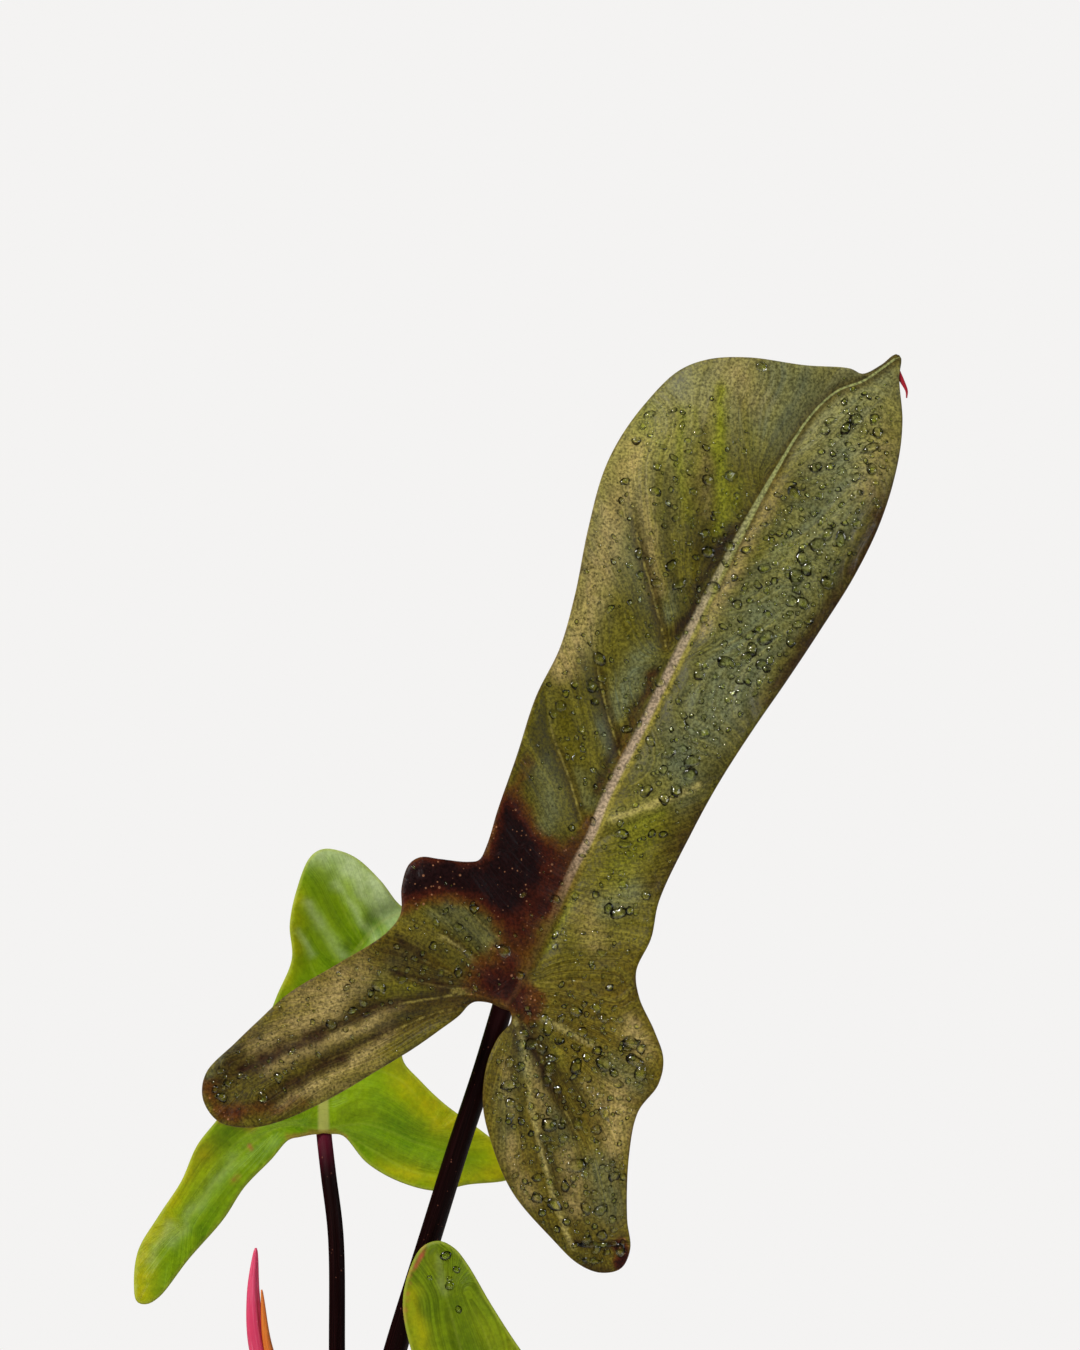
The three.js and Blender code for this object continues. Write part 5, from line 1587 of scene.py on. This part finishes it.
# %% The bed
MIX = {"top": 102, "swell": 2.2, "rings": 70, "sectors": 180}
CLEARANCE = 0.3


def mix_radius(height):
    """The radius of the pot's inner wall at a height, which the mix fills but for a small clearance."""
    at_band = POT["collar_radius"] - wall + 1
    if height <= BAND:
        at_floor = body_radius(POT["floor"]) - wall
        share = (height - POT["floor"]) / (BAND - POT["floor"])
        return at_floor + (at_band - at_floor) * share - CLEARANCE
    at_top = POT["rim_radius"] - wall - 2
    return at_band + (at_top - at_band) * (height - BAND) / (POT["rim_height"] - edge) - CLEARANCE


def mix_height(radius, turn):
    swell = np.sin(radius / 9 + 1) * np.cos(turn * 3 + radius / 20) + 0.6 * np.cos(turn * 7 - radius / 6)
    crumb = noise.noise((radius * math.cos(turn) / 3.2, radius * math.sin(turn) / 3.2, 4.0))
    fine = noise.noise((radius * math.cos(turn) / 1.1, radius * math.sin(turn) / 1.1, 9.0))
    return MIX["top"] + MIX["swell"] * (0.5 * swell + 1 - radius / 55) + 0.8 * crumb + 0.3 * fine


def bed_parts():
    """Points and faces of the closed bed: its wall inside the pot, and its uneven top ring by ring."""
    foot = POT["floor"] + CLEARANCE
    top_radius = mix_radius(MIX["top"]) - 0.8
    turns = 2 * np.pi * np.arange(MIX["sectors"]) / MIX["sectors"]
    rings = [(mix_radius(height) - 0.6, height) for height in (foot, BAND)]
    rings.append((top_radius + 0.2, MIX["top"] - 2))
    points = [(0, 0, foot)]
    for radius, height in rings:
        points += [(radius * math.cos(t), radius * math.sin(t), height) for t in turns]
    for number in range(MIX["rings"], 0, -1):
        radius = top_radius * number / MIX["rings"]
        points += [(radius * math.cos(t), radius * math.sin(t), mix_height(radius, t)) for t in turns]
    points.append((0, 0, mix_height(0, 0)))
    return points, lathe_faces(MIX["sectors"], len(points) - 1)


def earth_finish(dark, light):
    """Dark fibrous matter: two browns in clouds, with a rough bump."""
    material, net, shader = new_material("mix")
    place = net.place()
    clouds = net.group(CLOUDS, scale=420.0, contrast=0.2)
    crumbs = net.noise(place, 1600.0, 4.0, 0.7)
    skin = net.mix(clouds, dark, light)
    skin = net.over(skin, colour(134, 104, 72), net.between(crumbs, 0.55, 0.8), 0.5)
    net.fill(shader, {"Base Color": skin, "Roughness": 0.9, "Normal": net.bump(crumbs, 0.8, 0.0008)})
    return material


earth = earth_finish(colour(44, 30, 20), colour(78, 56, 38))
settle(solid_mesh("potting_mix_bed", *bed_parts(), earth), "mix", "potting_mix")


# %% A tree that scatters chips
def geometry_tree(name, inputs):
    """A Geometry Nodes tree that changes a geometry by some named inputs."""
    return new_tree(name, "GeometryNodeTree", {"Geometry": "Geometry", **inputs}, "Geometry", "Geometry")


def run_tree(piece, tree, **values):
    """Puts a tree on a piece, sets its inputs by their identifiers and keeps the result as a plain mesh."""
    modifier = piece.modifiers.new(tree.name, "NODES")
    modifier.node_group = tree
    for item in tree.interface.items_tree:
        if item.in_out == "INPUT" and item.name in values:
            modifier[item.identifier] = values[item.name]
    apply_modifiers(piece)


def draw_number(net, low, high, seed):
    return net.add("FunctionNodeRandomValue", {2: low, 3: high, "Seed": seed}, data_type="FLOAT").outputs[1]


def draw_vector(net, low, high, seed):
    made = net.add("FunctionNodeRandomValue", {0: low, 1: high, "Seed": seed}, data_type="FLOAT_VECTOR")
    return made.outputs[0]


def scatter_points(net, given, selection, **factor):
    """Points on the faces that are selected, none nearer to another than the spacing."""
    return net.add("GeometryNodeDistributePointsOnFaces", {
        "Mesh": given["Geometry"],
        "Selection": selection,
        "Distance Min": given["Spacing"],
        "Density Max": given["Amount"],
        "Seed": given["Seed"],
        **{name.replace("_", " "): value for name, value in factor.items()},
    }, distribute_method="POISSON")


def keep_number(net, geometry, name, value, domain="POINT"):
    """A geometry with one more number on it for the shader."""
    kept = {"Geometry": geometry, "Name": name, "Value": value}
    return net.add("GeometryNodeStoreNamedAttribute", kept, data_type="FLOAT", domain=domain).outputs[0]


def placed_copies(net, points, shape, turn, scale):
    """A copy of a shape on each point, turned and scaled."""
    settings = {"Points": points, "Instance": shape, "Rotation": turn, "Scale": scale}
    return net.add("GeometryNodeInstanceOnPoints", settings).outputs[0]


def lumpy(net, geometry, lump_scale, detail, reach):
    """A geometry pushed about a little by noise."""
    spot = net.add("GeometryNodeInputPosition").outputs[0]
    noise_node = net.add("ShaderNodeTexNoise", {"Vector": spot, "Scale": lump_scale, "Detail": detail})
    push = net.scaled(net.vector("SUBTRACT", noise_node.outputs["Color"], (0.5, 0.5, 0.5)), reach)
    return net.add("GeometryNodeSetPosition", {"Geometry": geometry, "Offset": push}).outputs[0]


def chips_tree():
    tree, net, given, result = geometry_tree("scattered chips", {
        "Spacing": 0.004,
        "Amount": 20000.0,
        "Size": 0.004,
        "Flatness": 0.5,
        "Tilt": 0.5,
        "Roughness": 0.001,
        "Radius": 0.05,
        "Seed": 1,
        "Material": "Material",
    })
    spot = net.add("GeometryNodeInputPosition").outputs[0]
    from_axis = net.vector("LENGTH", net.vector("MULTIPLY", spot, (1, 1, 0)))
    normal = net.add("GeometryNodeInputNormal").outputs[0]
    upward = net.math("GREATER_THAN", net.split(normal)[2], 0.4)
    scatter = scatter_points(net, given, net.times(upward, net.math("LESS_THAN", from_axis, given["Radius"])))
    box = {"Size": (2, 2, 2), "Vertices X": 3, "Vertices Y": 3, "Vertices Z": 3}
    cube = net.add("GeometryNodeMeshCube", box)
    corner = net.vector("NORMALIZE", spot)
    softened = net.add("ShaderNodeMix", {0: 0.45, 4: spot, 5: corner}, data_type="VECTOR").outputs[1]
    chip = net.add("GeometryNodeSetPosition", {"Geometry": cube.outputs[0], "Position": softened}).outputs[0]
    half = net.math("MULTIPLY", given["Size"], 0.5)
    sizes = draw_vector(net, (0.55, 0.35, 0.7), (1.3, 0.9, 1.3), 11)
    scale = net.vector("MULTIPLY", sizes, net.join(half, half, net.times(half, given["Flatness"])))
    tilt = given["Tilt"]
    low_tilt = net.join(net.times(tilt, -1.0), net.times(tilt, -1.0))
    turn = draw_vector(net, low_tilt, net.join(tilt, tilt, 2 * math.pi), 23)
    placed = placed_copies(net, scatter.outputs["Points"], chip, turn, scale)
    toned = keep_number(net, placed, "tone", draw_number(net, 0.0, 1.0, 31), "INSTANCE")
    real = net.add("GeometryNodeRealizeInstances", {"Geometry": toned}).outputs[0]
    rough = lumpy(net, real, 320.0, 2.0, given["Roughness"])
    finished = net.add("GeometryNodeSetMaterial", {"Geometry": rough, "Material": given["Material"]})
    net.put(result, finished.outputs[0])
    return tree


def bark_finish():
    material, net, shader = new_material("bark")
    place = net.place()
    sheets = net.noise(net.vector("MULTIPLY", place, (300.0, 300.0, 1500.0)), 1.0, 4.0, 0.6)
    skin = net.mix(net.attribute("tone"), colour(70, 42, 26), colour(142, 96, 62))
    skin = net.over(skin, colour(94, 62, 42), net.between(sheets, 0.45, 0.7), 0.7)
    skin = net.over(skin, colour(38, 24, 18), net.between(net.noise(place, 700.0, 3.0), 0.6, 0.75), 0.4)
    net.fill(shader, {"Base Color": skin, "Roughness": 0.82, "Normal": net.bump(sheets, 0.8, 0.0006)})
    return material


def perlite_finish():
    material, net, shader = new_material("perlite")
    pores = net.group(SPECKS, scale=1900.0, size=0.4, share=0.5)
    skin = net.mix(net.attribute("tone"), colour(212, 208, 198), colour(236, 234, 228))
    skin = net.over(skin, colour(170, 160, 146), pores, 0.4)
    net.fill(shader, {"Base Color": skin, "Roughness": 0.85, "Normal": net.bump(pores, 0.6, -0.0004)})
    return material


# %% Bark and perlite
SCATTER = chips_tree()


def scattered(name, finish, **values):
    """A piece scattered over the bed of mix."""
    made = solid_mesh(name, *bed_parts(), finish)
    run_tree(made, SCATTER, Material=finish, **values)
    settle(made, "mix")


bark = bark_finish()
scattered(
    "bark_chips", bark, Spacing=0.0062, Amount=30000.0, Size=0.0125, Flatness=0.42, Tilt=0.5, Roughness=0.002,
    Radius=0.048, Seed=4,
)
scattered(
    "bark_crumbs", bark, Spacing=0.002, Amount=160000.0, Size=0.0042, Flatness=0.5, Tilt=0.8, Roughness=0.001,
    Radius=0.054, Seed=9,
)
scattered(
    "perlite", perlite_finish(), Spacing=0.006, Amount=12000.0, Size=0.0036, Flatness=0.9, Tilt=1.5,
    Roughness=0.0012, Radius=0.053, Seed=15,
)

# %% [markdown]
# ## Water on the leaves
# The large leaf has just been misted. Its wax makes the water stand in beads: broad ones on the right half,
# small ones everywhere. Sculpting them one by one would take days. Geometry Nodes scatter them where a
# painted mask says that the leaf is wet, turn each to the surface and draw its size, and noise then makes
# their outlines uneven.

# %% Where the bronze leaf is wet
WET = [
    ([
        (860, 380), (900, 440), (840, 580), (760, 690), (690, 780), (650, 800), (700, 650), (780, 480),
    ], 5.0, 1.0, "patch"),
    ([(650, 420), (690, 470), (640, 560), (600, 640)], 12.0, 0.5),
    ([(700, 440), (720, 520), (690, 600)], 8.0, 0.5),
    ([(600, 700), (570, 770)], 9.0, 0.5),
    ([(660, 720), (640, 830)], 9.0, 0.6),
    ([(620, 900), (600, 960), (560, 930)], 9.0, 0.6),
    ([
        (505, 1010), (600, 990), (660, 1060), (630, 1200), (610, 1265), (540, 1230), (490, 1110),
    ], 4.0, 1.0, "patch"),
    ([(450, 940), (380, 990), (300, 1040), (235, 1085)], 10.0, 0.65),
]


# %% Water finish
LIGHT_THROUGH = 0.6


def water_finish():
    """Clear water where the leaf shows through bent, with a painted glow in the middle and an uneven painted
    dark rim.

    Light passes it on its way to the leaf, so that a bead doesn't cast a black shadow.
    """
    material, net, shader = new_material("water")
    outness = net.attribute("outness")
    unevenness = net.between(net.noise(net.place(), 330.0, 2.0), 0.38, 0.6, 0.4, 1.0)
    # painted shade: an uneven dark ring round each bead's edge
    ring = net.times(net.between(outness, 0.4, 0.8), unevenness)
    # painted glow: the middle lights up, most on the side away from the lamp, as a painted caustic
    away_from_lamp = net.between(net.attribute("sunward"), 0.4, -0.5, 0.25, 1.0)
    painted_glow = net.times(net.between(outness, 0.85, 0.25), away_from_lamp)
    tint = net.mix(painted_glow, colour(246, 250, 240), colour(240, 246, 180))
    net.fill(shader, {
        "Base Color": net.mix(ring, tint, colour(22, 17, 4)),
        "Emission Color": net.mix(painted_glow, colour(0, 0, 0), colour(58, 60, 14)),
        "Emission Strength": 1.0,
        "Specular IOR Level": 0.045,
        "Roughness": 0.08,
        "IOR": 1.33,
        "Transmission Weight": 1.0,
    })
    clear = net.add("ShaderNodeBsdfTransparent", {"Color": (1.0, 1.0, 1.0, 1.0)})
    shadow = net.add("ShaderNodeLightPath").outputs["Is Shadow Ray"]
    joined = net.blend(net.times(shadow, LIGHT_THROUGH), shader.outputs[0], clear.outputs[0])
    net.put(material.node_tree.nodes["Material Output"].inputs["Surface"], joined)
    return material


# %% A tree that scatters beads of water
def beads_tree():
    tree, net, given, result = geometry_tree("beads of water", {
        "Spacing": 0.004,
        "Amount": 60000.0,
        "Smallest": 0.001,
        "Largest": 0.003,
        "Height": 0.5,
        "Unevenness": 0.0002,
        "Edge": 1.0,
        "Sides": 10,
        "Rings": 6,
        "Seed": 1,
        "Material": "Material",
    })
    named = lambda label: net.add("GeometryNodeInputNamedAttribute", {"Name": label}).outputs[0]
    wet = named("wet")
    on_front = net.times(
        net.math("LESS_THAN", named("under"), 0.1),
        net.math("GREATER_THAN", named("edge_gap"), given["Edge"]),
    )
    scatter = scatter_points(net, given, on_front, Density_Factor=wet)
    sphere = {"Segments": given["Sides"], "Rings": given["Rings"], "Radius": 1.0}
    ball = net.add("GeometryNodeMeshUVSphere", sphere)
    spot = net.add("GeometryNodeInputPosition").outputs[0]
    x, y, z = net.split(spot)
    ringed = keep_number(net, ball.outputs["Mesh"], "outness", net.vector("LENGTH", net.join(x, y)))
    dome_place = net.join(x, y, net.math("MAXIMUM", net.times(z, given["Height"]), -0.06))
    dome = net.add("GeometryNodeSetPosition", {"Geometry": ringed, "Position": dome_place}).outputs[0]
    luck = net.math("POWER", draw_number(net, 0.0, 1.0, 3), 2.0)
    span = net.math("SUBTRACT", given["Largest"], given["Smallest"])
    radius = net.times(net.math("MULTIPLY_ADD", span, luck, given["Smallest"]), 0.5)
    radius = net.times(radius, net.math("MULTIPLY_ADD", wet, 0.4, 0.7))
    shape = draw_vector(net, (0.7, 0.7, 0.8), (1.35, 1.0, 1.1), 5)
    spin = net.join(z=draw_number(net, 0.0, 2 * math.pi, 8))
    spun = net.add("FunctionNodeEulerToRotation", {0: spin}).outputs[0]
    turns = {0: scatter.outputs["Rotation"], 1: spun}
    turn = net.add("FunctionNodeRotateRotation", turns, rotation_space="LOCAL")
    placed = placed_copies(net, scatter.outputs["Points"], dome, turn.outputs[0], net.scaled(shape, radius))
    real = net.add("GeometryNodeRealizeInstances", {"Geometry": placed}).outputs[0]
    facing = net.add("GeometryNodeInputNormal").outputs[0]
    lit = keep_number(net, real, "sunward", net.vector("DOT_PRODUCT", facing, TOWARDS_LAMP))
    uneven = lumpy(net, lit, 500.0, 1.0, given["Unevenness"])
    smooth = net.add("GeometryNodeSetShadeSmooth", {"Geometry": uneven}).outputs[0]
    finished = net.add("GeometryNodeSetMaterial", {"Geometry": smooth, "Material": given["Material"]})
    net.put(result, finished.outputs[0])
    return tree


# %% The beads
lamp_way = Vector(KEY_PLACE) - LIT_POINT
TOWARDS_LAMP = Vector((lamp_way.x, 0.0, lamp_way.z)).normalized()
BEADS = beads_tree()
water = water_finish()


def wet_leaf(name, leaf, strokes, **values):
    """Beads of water on the front of a leaf, where the strokes say that it is wet."""
    made = leaf.copy()
    made.data = leaf.data.copy()
    made.name = name
    bpy.context.scene.collection.objects.link(made)
    wetness = made.data.attributes.new("wet", "FLOAT", "POINT")
    wetness.data.foreach_set("value", paint(points_of(made)[:, [0, 2]], strokes).astype(np.float32))
    run_tree(made, BEADS, Material=water, **values)
    settle(made, "water")


wet_leaf(
    "broad_beads", bronze_leaf, WET, Spacing=0.0025, Amount=400000.0, Smallest=0.0013, Largest=0.0037,
    Height=0.5, Unevenness=0.0014, Edge=2.2, Sides=12, Rings=6, Seed=3,
)
wet_leaf(
    "small_beads", bronze_leaf, WET, Spacing=0.0016, Amount=520000.0, Smallest=0.0007, Largest=0.002,
    Height=0.6, Unevenness=0.0006, Sides=8, Rings=6, Seed=5,
)
wet_leaf(
    "low_leaf_beads", low_leaf, [([(440, 1262), (456, 1300)], 3.0, 1.0)], Spacing=0.003, Amount=60000.0,
    Smallest=0.0014, Largest=0.003, Height=0.5, Unevenness=0.0005, Seed=2,
)

# %% [markdown]
# ## Single drops
# A few drops are larger than the rest, and each lies in a place that the eye knows, such as the notch or
# the end of a lobe. A seed can't be asked for those, so they are listed one by one: a column and a row of
# the sheet, half a length and half a width in millimetres, and a turn in degrees.

# %% The places of the single drops
BRONZE_DROPS = [
    (503, 951, 2.1, 1.9, 20), (520, 975, 1.3, 1.1, 0), (762, 366, 1.5, 1.3, 0), (690, 775, 2.0, 1.7, 40),
    (599, 659, 2.0, 1.5, -50), (713, 588, 1.9, 1.7, 0), (728, 546, 1.8, 1.5, 0), (795, 494, 2.4, 1.5, -60),
    (841, 540, 1.3, 2.6, 0), (726, 662, 2.2, 1.5, -15), (762, 665, 1.7, 1.5, 0), (747, 657, 1.9, 1.2, 30),
    (708, 552, 1.7, 1.5, 0), (744, 451, 0.9, 0.9, 0), (596, 1243, 4.6, 0.8, 0), (620, 1248, 1.2, 1.8, 0),
    (592, 1259, 2.6, 0.8, -8),
]
LOW_DROPS = [
    (446, 1254, 1.5, 1.1, 20), (457, 1268, 1.1, 0.8, -40), (450, 1277, 0.8, 0.7, 0),
    (430, 1276, 0.7, 0.6, 0),
]
print("single drops:", len(BRONZE_DROPS) + len(LOW_DROPS))

# %% Single drops
DROP_HEIGHT = 0.5
DROP_SIDES = 20
DROP_RINGS = 6
DROP_DEPTH = 0.15


def drop_parts(centre, long, wide, turn):
    """One low dome on a leaf's front: its points and faces, and how far out and how sunward each point is."""
    turns = 2 * np.pi * np.arange(DROP_SIDES) / DROP_SIDES
    tilts = np.linspace(0, np.pi / 2, DROP_RINGS + 1)[:-1]
    size = min(long, wide)
    points = []
    for tilt in tilts:
        reach = np.cos(tilt)
        along, across = long * reach * np.cos(turns), wide * reach * np.sin(turns)
        x = along * math.cos(turn) - across * math.sin(turn)
        z = along * math.sin(turn) + across * math.cos(turn)
        points.append(np.column_stack([x, np.full(DROP_SIDES, -DROP_HEIGHT * size * np.sin(tilt)), z]))
    points = np.vstack([*points, [[0, -DROP_HEIGHT * size, 0], [0, DROP_DEPTH, 0]]])
    faces = ring_faces(DROP_SIDES, DROP_RINGS, len(points) - 1, len(points) - 2)
    outness = np.repeat(np.cos(tilts), DROP_SIDES)
    return points + centre, faces, np.append(outness, [0, 0]), points @ np.array(TOWARDS_LAMP) / size


def single_drops(name, leaf, drops):
    """Drops that are set by hand on one leaf, as one piece."""
    all_points, all_faces, all_outness, all_sunward = [], [], [], []
    for column, row, long, wide, turn in drops:
        place = spot_on_front(leaf, column, row)
        points, faces, outness, sunward = drop_parts(place, long, wide, math.radians(turn))
        start = sum(len(group) for group in all_points)
        all_points.append(points)
        all_faces += [[corner + start for corner in face] for face in faces]
        all_outness.append(outness)
        all_sunward.append(sunward)
    marks = {"outness": np.concatenate(all_outness), "sunward": np.concatenate(all_sunward)}
    settle(solid_mesh(name, np.vstack(all_points), all_faces, water, marks), "water")


single_drops("single_drops", bronze_leaf, BRONZE_DROPS)
single_drops("low_leaf_drops", low_leaf, LOW_DROPS)
